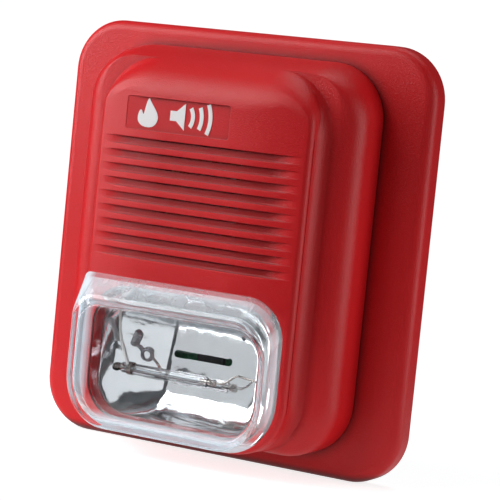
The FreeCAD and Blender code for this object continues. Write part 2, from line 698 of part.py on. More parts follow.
for x, z in ((-20.0, -31.0), (14.0, -30.0)):
    circle(s, x, z, 1.05)
pad(b, s, g.refl_back_dp - g.board_dp - g.board_thk + 0.1)
keep(b, "reflector")
screws("reflector_screws", [(-20.0, -31.0), (14.0, -30.0)], 2.2, 1.5, 1.0, 5.6, g.refl_back_dp + g.refl_thk, True)

# Flash tube: closed glass tube with a hollow bore, metal ends and leads.
outer = cyl_x("tube_outer", g.tube_rad, g.tube_x0, g.tube_x1, g.tube_z, g.tube_dp)
inner = cyl_x("tube_bore", g.tube_rad - 0.6, g.tube_x0 - 1, g.tube_x1 + 1, g.tube_z, g.tube_dp)
keep(cut("flash_tube_glass", outer, inner), "flash_tube_glass")
caps = []
for i, (xa, xb, lead, xl) in enumerate(((g.tube_x0 - 2.6, g.tube_x0 + 1.5, -29.2, None), (g.tube_x1 - 1.5, g.tube_x1 + 3.0, g.lead_x, None))):
    plug = cyl_x("tube_plug%d" % i, g.tube_rad - 0.65, xa, xb, g.tube_z, g.tube_dp)
    if i == 0:
        cap = cyl_x("tube_cap%d" % i, g.tube_rad + 0.1, g.tube_x0 - 2.2, g.tube_x0 - 0.02, g.tube_z, g.tube_dp)
        wire = cyl_x("tube_wire%d" % i, 0.5, lead, g.tube_x0 - 1, g.tube_z, g.tube_dp)
    else:
        cap = cyl_x("tube_cap%d" % i, g.tube_rad + 0.1, g.tube_x1 + 0.02, g.tube_x1 + 2.6, g.tube_z, g.tube_dp)
        wire = cyl_x("tube_wire%d" % i, 0.5, g.tube_x1 + 1, lead, g.tube_z, g.tube_dp)
    knee = ball("tube_knee%d" % i, 0.5, lead, g.tube_z, g.tube_dp)
    leg = cyl("tube_leg%d" % i, 0.5, lead, g.tube_z, g.board_dp + g.board_thk + 0.02, g.tube_dp)
    caps.append(fuse("tube_end%d" % i, [plug, cap, wire, knee, leg]))
keep(group("flash_tube_electrodes", caps), "flash_tube_electrodes")
sleeves = []
for i, lead in enumerate((-29.2, g.lead_x)):
    o = cyl("sleeve_out%d" % i, 1.1, lead, g.tube_z, g.board_dp + g.board_thk + 1, g.tube_dp - 2.0)
    q = cyl("sleeve_in%d" % i, 0.55, lead, g.tube_z, g.board_dp, g.tube_dp)
    sleeves.append(cut("sleeve%d" % i, o, q))
keep(group("tube_lead_sleeves", sleeves), "tube_lead_sleeves")

# Trigger wire: comes through the reflector's roof, runs down to the tube and
# is wound round its left end.
turns = [ring_x("turn%d" % i, g.tube_rad + 0.40, 0.28, g.tube_x0 + 1.6 + 0.54 * i, g.tube_z, g.tube_dp) for i in range(4)]
drop = cyl_z("trigger_drop", 0.55, g.tube_x0 + 2.5, g.tube_dp + 2.2, g.tube_z + 0.9, -13.5)
turn_ball = ball("trigger_knee", 0.55, g.tube_x0 + 2.5, -13.5, g.tube_dp + 2.2)
tail = cyl("trigger_tail", 0.55, g.tube_x0 + 2.5, -13.5, g.board_dp + g.board_thk + 0.02, g.tube_dp + 2.2)
keep(fuse("trigger_wire", turns + [drop, turn_ball, tail]), "trigger_wire")

# Circuit board and what is on it.
b = new_body("main_board")
s = sketch(b, g.board_dp)
rrect(s, -g.board_half, g.board_half, -g.board_bot, g.board_top, g.board_rad)
pad(b, s, g.board_thk)
s = sketch(b, g.board_dp + g.board_thk)
for sx in (-1, 1):
    for pz in (g.post_zt, g.post_zb):
        circle(s, g.post_x * sx, pz, 1.3)
for x, z in ((-20.0, -31.0), (14.0, -30.0)):
    circle(s, x, z, 1.5)
pocket(b, s, g.board_thk + 0.5)
keep(b, "main_board")
screws("board_screws", [(g.post_x * sx, pz) for sx in (-1, 1) for pz in (g.post_zt, g.post_zb)],
       2.2, 1.4, 1.05, 8.5, g.board_dp, False)

b = new_body("terminal_block")
s = sketch(b, g.board_dp)
rect(s, -10.3, 10.3, -34.5, -26.5)
pad(b, s, 5.8, back=True)
s = sketch(b, g.board_dp - 5.8)
for i in range(4):
    circle(s, -7.62 + 5.08 * i, -30.5, 1.9)
pocket(b, s, 3.6, front=True)
s = sketch(b, 35.5, "XZ_Plane")
s.MapMode = "Deactivated"
s.Placement = FreeCAD.Placement(V(0, 0, -35.0), FreeCAD.Rotation())
for i in range(4):
    rect(s, -9.42 + 5.08 * i, -5.82 + 5.08 * i, -(g.board_dp - 0.8), -(g.board_dp - 3.6))
s.AttachmentSupport = [(origin_plane(b, "XY_Plane"), "")]
s.MapMode = "FlatFace"
s.AttachmentOffset = FreeCAD.Placement(V(0, 0, -35.0), FreeCAD.Rotation())
s.setExpression("AttachmentOffset.Base.z", "0 - 35")
pocket(b, s, 3.0, front=True)
keep(b, "terminal_block")
screws("terminal_screws", [(-7.62 + 5.08 * i, -30.5) for i in range(4)], 1.7, 1.0, 1.1, 1.9, g.board_dp - 4.2, False)

# Four-way option switch on the side of the board that faces the wall.
b = new_body("dip_switch_body")
s = sketch(b, g.board_dp)
rect(s, 20.0, 31.0, 22.0, 30.0)
pad(b, s, 3.2, back=True)
s = sketch(b, g.board_dp - 3.2)
for i in range(4):
    rect(s, 21.0 + 2.54 * i, 22.4 + 2.54 * i, 24.0, 28.0)
pocket(b, s, 1.6, front=True)
keep(b, "dip_switch_body")
for i in range(4):
    x0 = 21.1 + 2.54 * i
    stem = box("dip_stem%d" % (i + 1), x0, x0 + 1.2, 24.4, 26.0, g.board_dp - 4.2, g.board_dp - 1.8)
    keep(stem, "dip_slider_%d" % (i + 1))

# Storage capacitor lying across the top of the board, with a crimped neck.
b = new_body("storage_capacitor")
s = sketch(b, 0.0, "XY_Plane")
poly(s, [(0, -12.0), (6.0, -12.0), (6.25, -11.6), (6.25, 8.2), (5.75, 8.8), (5.75, 9.6), (6.25, 10.2),
         (6.25, 12.6), (5.8, 13.0), (0, 13.0)])
revolve(b, s)
b.Placement = FreeCAD.Placement(V(0, -17.6, 51.3), FreeCAD.Rotation(V(0, 0, 1), 90))
b.setExpression("Placement.Base.y", "0 - (Dims.board_dp + Dims.board_thk + 6.6)")
keep(b, "storage_capacitor")

tr = box("trigger_core", -50.0 + 0.6, -39.6, -31.0, -19.0, g.board_dp + g.board_thk, g.board_dp + g.board_thk + 9.0)
keep(soften("trigger_transformer", tr, 0.8), "trigger_transformer")

b = new_body("boost_inductor")
s = sketch(b, g.board_dp + g.board_thk)
circle(s, 43.8, -24.0, 5.0)
pad(b, s, 8.5)
s = sketch(b, g.board_dp + g.board_thk + 1.4)
circle(s, 43.8, -24.0, 6.0)
circle(s, 43.8, -24.0, 4.3)
pocket_len = 5.7
pocket(b, s, pocket_len, front=True)
keep(b, "boost_inductor")

front = g.board_dp + g.board_thk
keep(group("control_chips", [box("chip_a", -6.0, 4.0, -44.0, -38.0, front, front + 1.9),
                             box("chip_b", 30.5, 36.5, 49.0, 53.5, front, front + 1.6)]), "control_chips")
res = []
for i in range(5):
    res.append(cyl_x("resistor%d" % i, 1.1, 22.0, 28.4, -33.0 - 4.0 * i, front + 1.15))
for i in range(3):
    res.append(cyl("film_cap%d" % i, 2.4, -36.0 + 6.0 * i, 50.5, front, front + 6.5))
keep(group("small_components", res), "small_components")

# Sounder: cup against the inside of the cover, a brass disc with its ceramic
# held on a step in the cup by a ring.
def turned(name, z, profile):
    """A body turned about the axis that points out of the wall at height z."""
    body = new_body(name)
    sk = sketch(body, 0.0, "XY_Plane")
    poly(sk, [(r, -num(d)) for r, d in profile])
    revolve(body, sk)
    z = num(z)
    body.Placement = FreeCAD.Placement(V(0, 0, z.v), FreeCAD.Rotation())
    body.setExpression("Placement.Base.z", z.t)
    return body


R, hb, dd = g.horn_rad, g.horn_back_dp, g.disc_dp
lip = g.dome_dp - g.wall_thk - 0.12
b = turned("sounder_housing", g.horn_z,
           [(0, hb), (R, hb), (R, lip), (R - 1.8, lip), (R - 1.8, dd - 0.6), (g.disc_rad - 2.0, dd - 0.6),
            (g.disc_rad - 2.0, dd), (g.disc_rad - 3.2, dd), (g.disc_rad - 3.2, dd - 3.0), (R - 4.2, dd - 6.0),
            (R - 4.2, hb + 1.8), (0, hb + 1.8)])
s = sketch(b, hb + 1.9)
circle(s, -6.0, 0, 0.9)
circle(s, 6.0, 0, 0.9)
pocket(b, s, 4.0)
s = sketch(b, front)
for a in (90, 210, 330):
    circle(s, 19.0 * math.cos(math.radians(a)), 19.0 * math.sin(math.radians(a)), 2.0)
pad(b, s, hb - front + 0.1)
keep(b, "sounder_housing")
keep(turned("sounder_ring", g.horn_z, [(g.disc_rad - 2.2, dd + 0.35), (R - 2.1, dd + 0.35), (R - 2.1, dd + 2.4),
                                       (g.disc_rad - 1.2, dd + 2.4), (g.disc_rad - 2.2, dd + 1.4)]), "sounder_ring")
keep(turned("piezo_disc", g.horn_z, [(0, dd), (g.disc_rad, dd), (g.disc_rad, dd + 0.3), (0, dd + 0.3)]), "piezo_disc")
keep(turned("piezo_ceramic", g.horn_z, [(0, dd + 0.3), (12.5, dd + 0.3), (12.5, dd + 0.55), (0, dd + 0.55)]),
     "piezo_ceramic")
keep(group("sounder_leads", [cyl("lead_a", 0.5, -6.0, g.horn_z, front, dd),
                             cyl("lead_b", 0.5, 6.0, g.horn_z, front, dd)]), "sounder_leads")

# Lock: steel plate with a threaded hole, the captive screw and its ring.
b = new_body("lock_nut")
s = sketch(b, g.lock_dp - 3)
rect(s, -(g.ear_half + 3.4), g.ear_half + 3.4, g.nut_z0, g.nut_z0 + g.nut_thk)
pad(b, s, 6.0)
s = sketch(b, g.nut_z0 + g.nut_thk, "XY_Plane")
circle(s, 0, -g.lock_dp, g.lock_rad + 0.06)
pocket(b, s, g.nut_thk + 0.5)
keep(b, "lock_nut")

b = new_body("lock_screw")
z_seat = -(g.shell_bot - 1.0)
s = sketch(b, z_seat - 2.0, "XY_Plane")
circle(s, 0, -g.lock_dp, 2.8)
pad(b, s, 2.0)
fillet(b, lambda e: e.BoundBox.ZLength < 1e-3 and abs(e.BoundBox.ZMin - (z_seat - 2.0).v) < 1e-3, 0.7)
s = sketch(b, z_seat - 0.1, "XY_Plane")
circle(s, 0, -g.lock_dp, g.lock_rad)
pad(b, s, 12.4)
fillet(b, lambda e: e.BoundBox.ZLength < 1e-3 and abs(e.BoundBox.ZMin - (z_seat + 12.3).v) < 1e-3, 0.5,
       "PartDesign::Chamfer")
s = sketch(b, z_seat - 2.01, "XY_Plane")
plus(s, 0, -g.lock_dp, 1.7, 0.75)
pocket(b, s, 1.2, front=True)
keep(b, "lock_screw")

b = new_body("lock_screw_ring")
s = sketch(b, g.ear_z0 - 1.8, "XY_Plane")
circle(s, 0, -g.lock_dp, 2.7)
circle(s, 0, -g.lock_dp, g.lock_rad + 0.06)
pad(b, s, 0.8)
keep(b, "lock_screw_ring")

# Label pictogram: a flame beside a loudspeaker with sound waves, printed on
# the floor of the label recess.
def pict_face(pts, curve):
    pts = [V(x, 0, z) for x, z in pts]
    if curve:
        bs = Part.BSplineCurve()
        bs.interpolate(Points=pts, PeriodicFlag=True)
        w = Part.Wire([bs.toShape()])
    else:
        w = Part.makePolygon(pts + [pts[0]])
    return Part.Face(w)


def pict_arc(cx, cz, r, t, a0, a1):
    n = 14
    pts = []
    for k in range(n + 1):
        a = math.radians(a0 + (a1 - a0) * k / n)
        pts.append((cx + (r + t) * math.cos(a), cz + (r + t) * math.sin(a)))
    for k in range(n, -1, -1):
        a = math.radians(a0 + (a1 - a0) * k / n)
        pts.append((cx + r * math.cos(a), cz + r * math.sin(a)))
    return pict_face(pts, False)


zc = (g.label_z0.v + g.label_z1.v) / 2
faces = [pict_face([(-21.0, zc + 4.9), (-18.6, zc + 1.6), (-17.2, zc - 1.6), (-18.6, zc - 4.2), (-21.4, zc - 4.9),
                    (-24.2, zc - 4.0), (-25.2, zc - 1.4), (-24.0, zc + 0.9), (-23.2, zc - 0.4), (-22.3, zc + 2.4)], True)]
faces.append(pict_face([(-12.4, zc - 1.7), (-9.9, zc - 1.7), (-6.6, zc - 4.6), (-6.6, zc + 4.6),
                        (-9.9, zc + 1.7), (-12.4, zc + 1.7)], False))
for r in (5.0, 8.4, 11.8):
    faces.append(pict_arc(-9.2, zc, r, 1.5, -24 if r > 8 else -34, 24 if r > 8 else 34))
ink = Part.makeCompound([f.extrude(V(0, -g.ink_thk.v, 0)) for f in faces])
sym = doc.addObject("Part::Feature", "label_symbol")
sym.Shape = ink
sym.Placement = FreeCAD.Placement(V(0, -(g.dome_dp.v - g.label_dp.v), 0), FreeCAD.Rotation())
keep(sym, "label_symbol")

# ------------------------------------------------------------ check and write
doc.recompute()
bad = []
for o in doc.Objects:
    if any(w in ("Invalid", "Error") for w in o.State):
        bad.append("%s (%s): %s" % (o.Name, o.Label, o.State))
for o in NODES:
    sh = o.Shape
    if sh.isNull() or not sh.isValid() or not sh.Solids:
        bad.append("%s has a bad shape" % o.Label)
if bad:
    raise RuntimeError("; ".join(bad))
os.makedirs("parts", exist_ok=True)
for o in NODES:
    o.Shape.exportStep("parts/%s.step" % o.Label)
    bb = o.Shape.BoundBox
    print("%-24s solids %2d vol %9.1f  x %7.2f %7.2f  y %7.2f %7.2f  z %7.2f %7.2f" % (
        o.Label, len(o.Shape.Solids), o.Shape.Volume, bb.XMin, bb.XMax, bb.YMin, bb.YMax, bb.ZMin, bb.ZMax))
print("nodes", len(NODES))
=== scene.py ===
import math
import bpy
import bmesh
import numpy as np
from mathutils import Matrix, Vector


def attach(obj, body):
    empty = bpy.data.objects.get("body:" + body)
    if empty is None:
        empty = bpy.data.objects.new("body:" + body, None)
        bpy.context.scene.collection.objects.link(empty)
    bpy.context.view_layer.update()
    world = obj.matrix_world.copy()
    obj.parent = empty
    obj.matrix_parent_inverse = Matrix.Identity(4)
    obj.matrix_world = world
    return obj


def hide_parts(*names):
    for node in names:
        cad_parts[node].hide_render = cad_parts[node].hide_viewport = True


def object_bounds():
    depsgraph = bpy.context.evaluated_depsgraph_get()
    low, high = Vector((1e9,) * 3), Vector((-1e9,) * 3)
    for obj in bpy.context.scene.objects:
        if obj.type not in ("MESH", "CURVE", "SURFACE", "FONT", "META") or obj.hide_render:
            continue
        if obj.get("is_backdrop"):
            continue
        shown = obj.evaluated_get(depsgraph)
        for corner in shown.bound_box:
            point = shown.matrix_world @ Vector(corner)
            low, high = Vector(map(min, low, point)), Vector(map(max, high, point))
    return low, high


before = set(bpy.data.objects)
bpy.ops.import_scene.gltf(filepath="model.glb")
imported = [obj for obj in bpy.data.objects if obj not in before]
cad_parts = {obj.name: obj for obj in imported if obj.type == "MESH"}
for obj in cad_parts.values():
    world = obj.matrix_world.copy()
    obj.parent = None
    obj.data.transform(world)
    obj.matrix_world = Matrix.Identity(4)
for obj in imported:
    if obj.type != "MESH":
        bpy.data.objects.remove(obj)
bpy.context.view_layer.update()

K = 0.001
scene = bpy.context.scene
coll = scene.collection


def P(x, z, d):
    """A point from millimetres: x to the right, z up, d out of the wall."""
    return (x * K, -d * K, z * K)


# =============================================================== node helpers
def new_mat(name):
    m = bpy.data.materials.new(name)
    m.use_nodes = True
    nt = m.node_tree
    bs = next(n for n in nt.nodes if n.type == "BSDF_PRINCIPLED")
    return m, nt, bs


def obj_coords(nt, scale=1.0):
    tc = nt.nodes.new("ShaderNodeTexCoord")
    mp = nt.nodes.new("ShaderNodeMapping")
    mp.inputs["Scale"].default_value = (scale, scale, scale) if not isinstance(scale, tuple) else scale
    nt.links.new(tc.outputs["Object"], mp.inputs["Vector"])
    return mp.outputs["Vector"]


def noise(nt, vec, scale, detail=2.0, rough=0.5, dist=0.0):
    n = nt.nodes.new("ShaderNodeTexNoise")
    n.inputs["Scale"].default_value = scale
    n.inputs["Detail"].default_value = detail
    n.inputs["Roughness"].default_value = rough
    n.inputs["Distortion"].default_value = dist
    nt.links.new(vec, n.inputs["Vector"])
    return n.outputs["Fac"]


def ramp(nt, fac, stops):
    r = nt.nodes.new("ShaderNodeValToRGB")
    el = r.color_ramp.elements
    el[0].position, el[0].color = stops[0][0], (*stops[0][1], 1)
    el[1].position, el[1].color = stops[-1][0], (*stops[-1][1], 1)
    for p, c in stops[1:-1]:
        e = el.new(p)
        e.color = (*c, 1)
    nt.links.new(fac, r.inputs["Fac"])
    return r.outputs["Color"]


def remap(nt, fac, a, b, c, d):
    m = nt.nodes.new("ShaderNodeMapRange")
    for k, v in (("From Min", a), ("From Max", b), ("To Min", c), ("To Max", d)):
        m.inputs[k].default_value = v
    nt.links.new(fac, m.inputs["Value"])
    return m.outputs["Result"]


def bump(nt, height, strength, distance, normal=None):
    b = nt.nodes.new("ShaderNodeBump")
    b.inputs["Strength"].default_value = strength
    b.inputs["Distance"].default_value = distance
    nt.links.new(height, b.inputs["Height"])
    if normal is not None:
        nt.links.new(normal, b.inputs["Normal"])
    return b.outputs["Normal"]


def plastic(name, col, rough=0.45, grain=0.00003, cell=2600.0, vary=0.06, spec=0.5, coat=0.0, painted_crevice_shade=0.0, alone=False):
    """Moulded plastic: fine eroded grain, slight colour and gloss variation."""
    m, nt, bs = new_mat(name)
    vec = obj_coords(nt)
    fine = noise(nt, vec, cell, 3.0, 0.6)
    mid = noise(nt, vec, cell * 0.62, 2.0, 0.5)
    broad = noise(nt, vec, 22.0, 3.0, 0.5)
    lo = tuple(max(0.0, c * (1 - vary)) for c in col)
    hi = tuple(min(1.0, c * (1 + vary)) for c in col)
    shade = ramp(nt, broad, [(0.3, lo), (0.7, hi)])
    bs.inputs["Specular IOR Level"].default_value = spec
    if painted_crevice_shade:
        # painted shade: ambient occlusion darkens the base colour in grooves, valleys and parting lines
        ao = nt.nodes.new("ShaderNodeAmbientOcclusion")
        ao.samples = 8
        ao.only_local = alone
        ao.inputs["Distance"].default_value = painted_crevice_shade
        painted_shade = remap(nt, ao.outputs["AO"], 0.40, 0.92, 0.30, 1.0)
        mul = nt.nodes.new("ShaderNodeVectorMath")
        mul.operation = "SCALE"
        nt.links.new(shade, mul.inputs[0])
        nt.links.new(painted_shade, mul.inputs["Scale"])
        shade = mul.outputs["Vector"]
    nt.links.new(shade, bs.inputs["Base Color"])
    nt.links.new(remap(nt, mid, 0.3, 0.7, rough - 0.05, rough + 0.06), bs.inputs["Roughness"])
    bs.inputs["Coat Weight"].default_value = coat
    n1 = bump(nt, fine, 1.0, grain)
    nt.links.new(bump(nt, mid, 1.0, grain * 1.3, n1), bs.inputs["Normal"])
    return m


def metal(name, col, rough=0.25, scratch=(60.0, 60.0, 2400.0), aniso=0.0):
    m, nt, bs = new_mat(name)
    vec = obj_coords(nt, scratch)
    n = noise(nt, vec, 8.0, 4.0, 0.6)
    v2 = obj_coords(nt)
    blot = noise(nt, v2, 300.0, 3.0, 0.5)
    bs.inputs["Metallic"].default_value = 1.0
    nt.links.new(ramp(nt, blot, [(0.3, tuple(c * 0.8 for c in col)), (0.7, col)]), bs.inputs["Base Color"])
    nt.links.new(remap(nt, n, 0.3, 0.7, rough * 0.75, rough * 1.4), bs.inputs["Roughness"])
    nt.links.new(bump(nt, n, 0.25, 0.00002), bs.inputs["Normal"])
    return m


def clear(name, tint=(0.97, 0.985, 0.99), rough=0.0, ior=1.49, wave=0.0, shadow=0.9):
    """Clear moulded plastic or glass that still lets light in to what is behind it."""
    m, nt, bs = new_mat(name)
    bs.inputs["Base Color"].default_value = (*tint, 1)
    bs.inputs["Transmission Weight"].default_value = 1.0
    bs.inputs["IOR"].default_value = ior
    vec = obj_coords(nt)
    n = noise(nt, vec, 90.0, 2.0, 0.5)
    nt.links.new(remap(nt, n, 0.3, 0.7, rough, rough + 0.03), bs.inputs["Roughness"])
    if wave:
        nt.links.new(bump(nt, noise(nt, vec, 60.0, 1.0, 0.4), 1.0, wave), bs.inputs["Normal"])
    out = next(x for x in nt.nodes if x.type == "OUTPUT_MATERIAL")
    tr = nt.nodes.new("ShaderNodeBsdfTransparent")
    tr.inputs["Color"].default_value = (shadow, shadow, shadow, 1)
    lp = nt.nodes.new("ShaderNodeLightPath")
    mx = nt.nodes.new("ShaderNodeMixShader")
    nt.links.new(lp.outputs["Is Shadow Ray"], mx.inputs[0])
    nt.links.new(bs.outputs["BSDF"], mx.inputs[1])
    nt.links.new(tr.outputs["BSDF"], mx.inputs[2])
    nt.links.new(mx.outputs["Shader"], out.inputs["Surface"])
    return m


RED = (0.585, 0.0045, 0.0075)
M = {
    # both red plastics paint shade into their base colour in crevices through ambient occlusion
    "red": plastic("red_abs", RED, rough=0.38, grain=0.00008, cell=3300.0, vary=0.05, spec=0.39, painted_crevice_shade=0.005),
    "red_cover": plastic("red_abs_cover", RED, rough=0.38, grain=0.00008, cell=3300.0, vary=0.05, spec=0.39, painted_crevice_shade=0.006, alone=True),
    "black": plastic("black_abs", (0.018, 0.018, 0.02), rough=0.5, grain=0.00003),
    "plate": plastic("plate_abs", (0.035, 0.035, 0.038), rough=0.55, grain=0.00004),
    "rubber": plastic("rubber_black", (0.012, 0.011, 0.011), rough=0.7, grain=0.00003, spec=0.3),
    "seal": plastic("seal_dark_red", (0.05, 0.004, 0.005), rough=0.8, grain=0.00003, spec=0.2),
    "white": plastic("white_ink", (0.86, 0.85, 0.84), rough=0.55, grain=0.00001, vary=0.03),
    "nylon": plastic("nylon_white", (0.75, 0.74, 0.7), rough=0.45, grain=0.00002),
    "sleeve": plastic("sleeve_white", (0.8, 0.8, 0.78), rough=0.5, grain=0.00002),
    "cap": plastic("capacitor_sleeve", (0.012, 0.014, 0.05), rough=0.25, grain=0.00001, coat=0.3),
    "yellow": plastic("tape_yellow", (0.62, 0.42, 0.05), rough=0.35, grain=0.00002),
    "ferrite": plastic("ferrite", (0.04, 0.04, 0.042), rough=0.6, grain=0.00005),
    "chip": plastic("chip_epoxy", (0.015, 0.015, 0.016), rough=0.5, grain=0.00002),
    "tan": plastic("resistor_tan", (0.55, 0.38, 0.2), rough=0.4, grain=0.00002, vary=0.15),
    "green": plastic("terminal_green", (0.02, 0.22, 0.08), rough=0.4, grain=0.00002),
    "blue": plastic("switch_blue", (0.02, 0.07, 0.32), rough=0.4, grain=0.00002),
    "redlead": plastic("lead_red", (0.5, 0.01, 0.01), rough=0.4, grain=0.00001),
    "ceramic": plastic("ceramic_disc", (0.72, 0.68, 0.6), rough=0.55, grain=0.00003),
    "steel": metal("zinc_steel", (0.62, 0.62, 0.6), 0.28),
    "nickel": metal("nickel_wire", (0.58, 0.56, 0.53), 0.2),
    "stud": metal("dark_stud_steel", (0.40, 0.40, 0.42), 0.24),
    "brass": metal("brass_disc", (0.78, 0.55, 0.22), 0.25),
    "lens": clear("lens_clear", (0.975, 0.985, 0.99), 0.0, 1.5, 0.0),
    "tube": clear("tube_glass", (0.98, 0.99, 1.0), 0.0, 1.47),
}


def board_mat():
    m, nt, bs = new_mat("board_green")
    vec = obj_coords(nt)
    br = nt.nodes.new("ShaderNodeTexBrick")
    br.inputs["Scale"].default_value = 90.0
    br.inputs["Color1"].default_value = (0.012, 0.13, 0.05, 1)
    br.inputs["Color2"].default_value = (0.014, 0.15, 0.055, 1)
    br.inputs["Mortar"].default_value = (0.03, 0.24, 0.1, 1)
    br.inputs["Mortar Size"].default_value = 0.05
    br.offset = 0.37
    nt.links.new(obj_coords(nt, (1.0, 0.001, 1.7)), br.inputs["Vector"])
    nt.links.new(br.outputs["Color"], bs.inputs["Base Color"])
    n = noise(nt, vec, 900.0, 2.0)
    nt.links.new(remap(nt, n, 0.3, 0.7, 0.22, 0.34), bs.inputs["Roughness"])
    nt.links.new(bump(nt, br.outputs["Fac"], 0.4, 0.00003), bs.inputs["Normal"])
    return m


def chrome_mat():
    m, nt, bs = new_mat("vacuum_chrome")
    vec = obj_coords(nt)
    bs.inputs["Metallic"].default_value = 1.0
    blot = noise(nt, vec, 45.0, 3.0, 0.55)
    nt.links.new(ramp(nt, blot, [(0.3, (0.80, 0.82, 0.85)), (0.7, (0.93, 0.94, 0.95))]), bs.inputs["Base Color"])
    nt.links.new(remap(nt, noise(nt, vec, 260.0, 3.0, 0.6), 0.3, 0.75, 0.05, 0.13), bs.inputs["Roughness"])
    wob = noise(nt, vec, 75.0, 1.5, 0.45, 0.6)
    n1 = bump(nt, wob, 1.0, 0.00042)
    nt.links.new(bump(nt, noise(nt, vec, 700.0, 2.0), 1.0, 0.000015, n1), bs.inputs["Normal"])
    return m


M["board"] = board_mat()
M["chrome"] = chrome_mat()


# =============================================================== mesh helpers
def make(name, verts, faces, mat, smooth=40.0):
    me = bpy.data.meshes.new(name)
    me.from_pydata([tuple(v) for v in verts], [], faces)
    me.validate()
    bm = bmesh.new()
    bm.from_mesh(me)
    bmesh.ops.recalc_face_normals(bm, faces=bm.faces)
    bm.to_mesh(me)
    bm.free()
    o = bpy.data.objects.new(name, me)
    coll.objects.link(o)
    me.materials.append(M[mat] if isinstance(mat, str) else mat)
    finish_shading(o, smooth)
    return o


def finish_shading(o, smooth=40.0):
    me = o.data
    me.polygons.foreach_set("use_smooth", [True] * len(me.polygons))
    me.set_sharp_from_angle(angle=math.radians(smooth))
    me.update()


def ring(x0, x1, z0, z1, r0, r1, d, n=10, rx0=None, rx1=None, r2=None):
    """A rounded rectangle at depth d.  r0 and r1 are the corner heights at the
    bottom and top; rx0 and rx1 their widths; r2 the top left corner if it differs."""
    rx0 = r0 if rx0 is None else rx0
    rx1 = r1 if rx1 is None else rx1
    rx2, r2 = (rx1, r1) if r2 is None else (r2, r2)
    pts = []
    for cx, cz, rx, rz, a0 in ((x1 - rx0, z0 + r0, rx0, r0, -90), (x1 - rx1, z1 - r1, rx1, r1, 0),
                               (x0 + rx2, z1 - r2, rx2, r2, 90), (x0 + rx0, z0 + r0, rx0, r0, 180)):
        for k in range(n + 1):
            a = math.radians(a0 + 90.0 * k / n)
            pts.append(P(cx + rx * math.cos(a), cz + rz * math.sin(a), d))
    return pts


def loft(name, rings, mat="red", caps=True, smooth=40.0):
    n = len(rings[0])
    verts = [p for r in rings for p in r]
    faces = []
    for i in range(len(rings) - 1):
        for k in range(n):
            a, b = i * n + k, i * n + (k + 1) % n
            faces.append((a, b, b + n, a + n))
    if caps:
        faces.append(tuple(range(n))[::-1])
        faces.append(tuple(range((len(rings) - 1) * n, len(rings) * n)))
    return make(name, verts, faces, mat, smooth)


def boolean(o, tool, op):
    md = o.modifiers.new("b", "BOOLEAN")
    md.operation = op
    md.solver = "MANIFOLD"
    md.object = tool
    bpy.context.view_layer.update()
    dg = bpy.context.evaluated_depsgraph_get()
    me = bpy.data.meshes.new_from_object(o.evaluated_get(dg))
    before = len(o.data.polygons)
    o.modifiers.clear()
    old = o.data
    o.data = me
    bpy.data.meshes.remove(old)
    bpy.data.objects.remove(tool)
    print("boolean", op, o.name, before, "->", len(me.polygons))
    return o


def join(name, objs):
    bm = bmesh.new()
    mats = []
    for o in objs:
        me = o.data
        base = len(mats)
        mats += list(me.materials)
        tmp = bmesh.new()
        tmp.from_mesh(me)
        for f in tmp.faces:
            f.material_index += base
        tmp_me = bpy.data.meshes.new("tmp")
        tmp.to_mesh(tmp_me)
        tmp.free()
        bm.from_mesh(tmp_me)
        bpy.data.meshes.remove(tmp_me)
    me = bpy.data.meshes.new(name)
    bm.to_mesh(me)
    bm.free()
    uniq = []
    remap_i = []
    for m in mats:
        if m not in uniq:
            uniq.append(m)
        remap_i.append(uniq.index(m))
    for m in uniq:
        me.materials.append(m)
    idx = [remap_i[p.material_index] for p in me.polygons]
    me.polygons.foreach_set("material_index", idx)
    o = bpy.data.objects.new(name, me)
    coll.objects.link(o)
    for q in objs:
        bpy.data.objects.remove(q)
    return o


def tube(name, pts, r, mat, n=14, smooth=60.0, closed=False):
    """A round wire through points (x, z, d) in millimetres, along a smooth line."""
    cu = bpy.data.curves.new(name + "_c", "CURVE")
    cu.dimensions = "3D"
    sp = cu.splines.new("NURBS")
    sp.points.add(len(pts) - 1)
    for q, p in zip(sp.points, pts):
        q.co = (*P(*p), 1.0)
    sp.order_u = 3
    sp.use_endpoint_u = not closed
    sp.use_cyclic_u = closed
    sp.resolution_u = 8
    cu.bevel_depth = r * K
    cu.bevel_resolution = max(2, n // 4)
    cu.use_fill_caps = True
    o = bpy.data.objects.new(name + "_c", cu)
    coll.objects.link(o)
    bpy.context.view_layer.update()
    dg = bpy.context.evaluated_depsgraph_get()
    me = bpy.data.meshes.new_from_object(o.evaluated_get(dg))
    bpy.data.objects.remove(o)
    w = bpy.data.objects.new(name, me)
    coll.objects.link(w)
    me.materials.clear()
    me.materials.append(M[mat])
    bm = bmesh.new()
    bm.from_mesh(me)
    bmesh.ops.remove_doubles(bm, verts=bm.verts, dist=1e-7)
    bmesh.ops.recalc_face_normals(bm, faces=bm.faces)
    bm.to_mesh(me)
    bm.free()
    finish_shading(w, smooth)
    return w


def lathe(name, prof, mat, centre, axis="Y", n=48, smooth=35.0):
    """Turns (r, h) pairs round an axis through centre (x, z, d).  h grows away
    from the wall for Y, to the right for X and up for Z."""
    verts, faces = [], []
    cx, cz, cd = centre
    m = len(prof)
    for k in range(n):
        a = 2 * math.pi * k / n
        c, s = math.cos(a), math.sin(a)
        for r, t in prof:
            if axis == "Y":
                verts.append(P(cx + r * c, cz + r * s, cd + t))
            elif axis == "X":
                verts.append(P(cx + t, cz + r * c, cd + r * s))
            else:
                verts.append(P(cx + r * c, cz + t, cd + r * s))
    for k in range(n):
        b = ((k + 1) % n) * m
        a = k * m
        for i in range(m - 1):
            faces.append((a + i, b + i, b + i + 1, a + i + 1))
    o = make(name, verts, faces, mat, smooth)
    bm = bmesh.new()
    bm.from_mesh(o.data)
    bmesh.ops.remove_doubles(bm, verts=bm.verts, dist=1e-8)
    bmesh.ops.holes_fill(bm, edges=[e for e in bm.edges if e.is_boundary])
    bmesh.ops.recalc_face_normals(bm, faces=bm.faces)
    bm.to_mesh(o.data)
    bm.free()
    finish_shading(o, smooth)
    return o


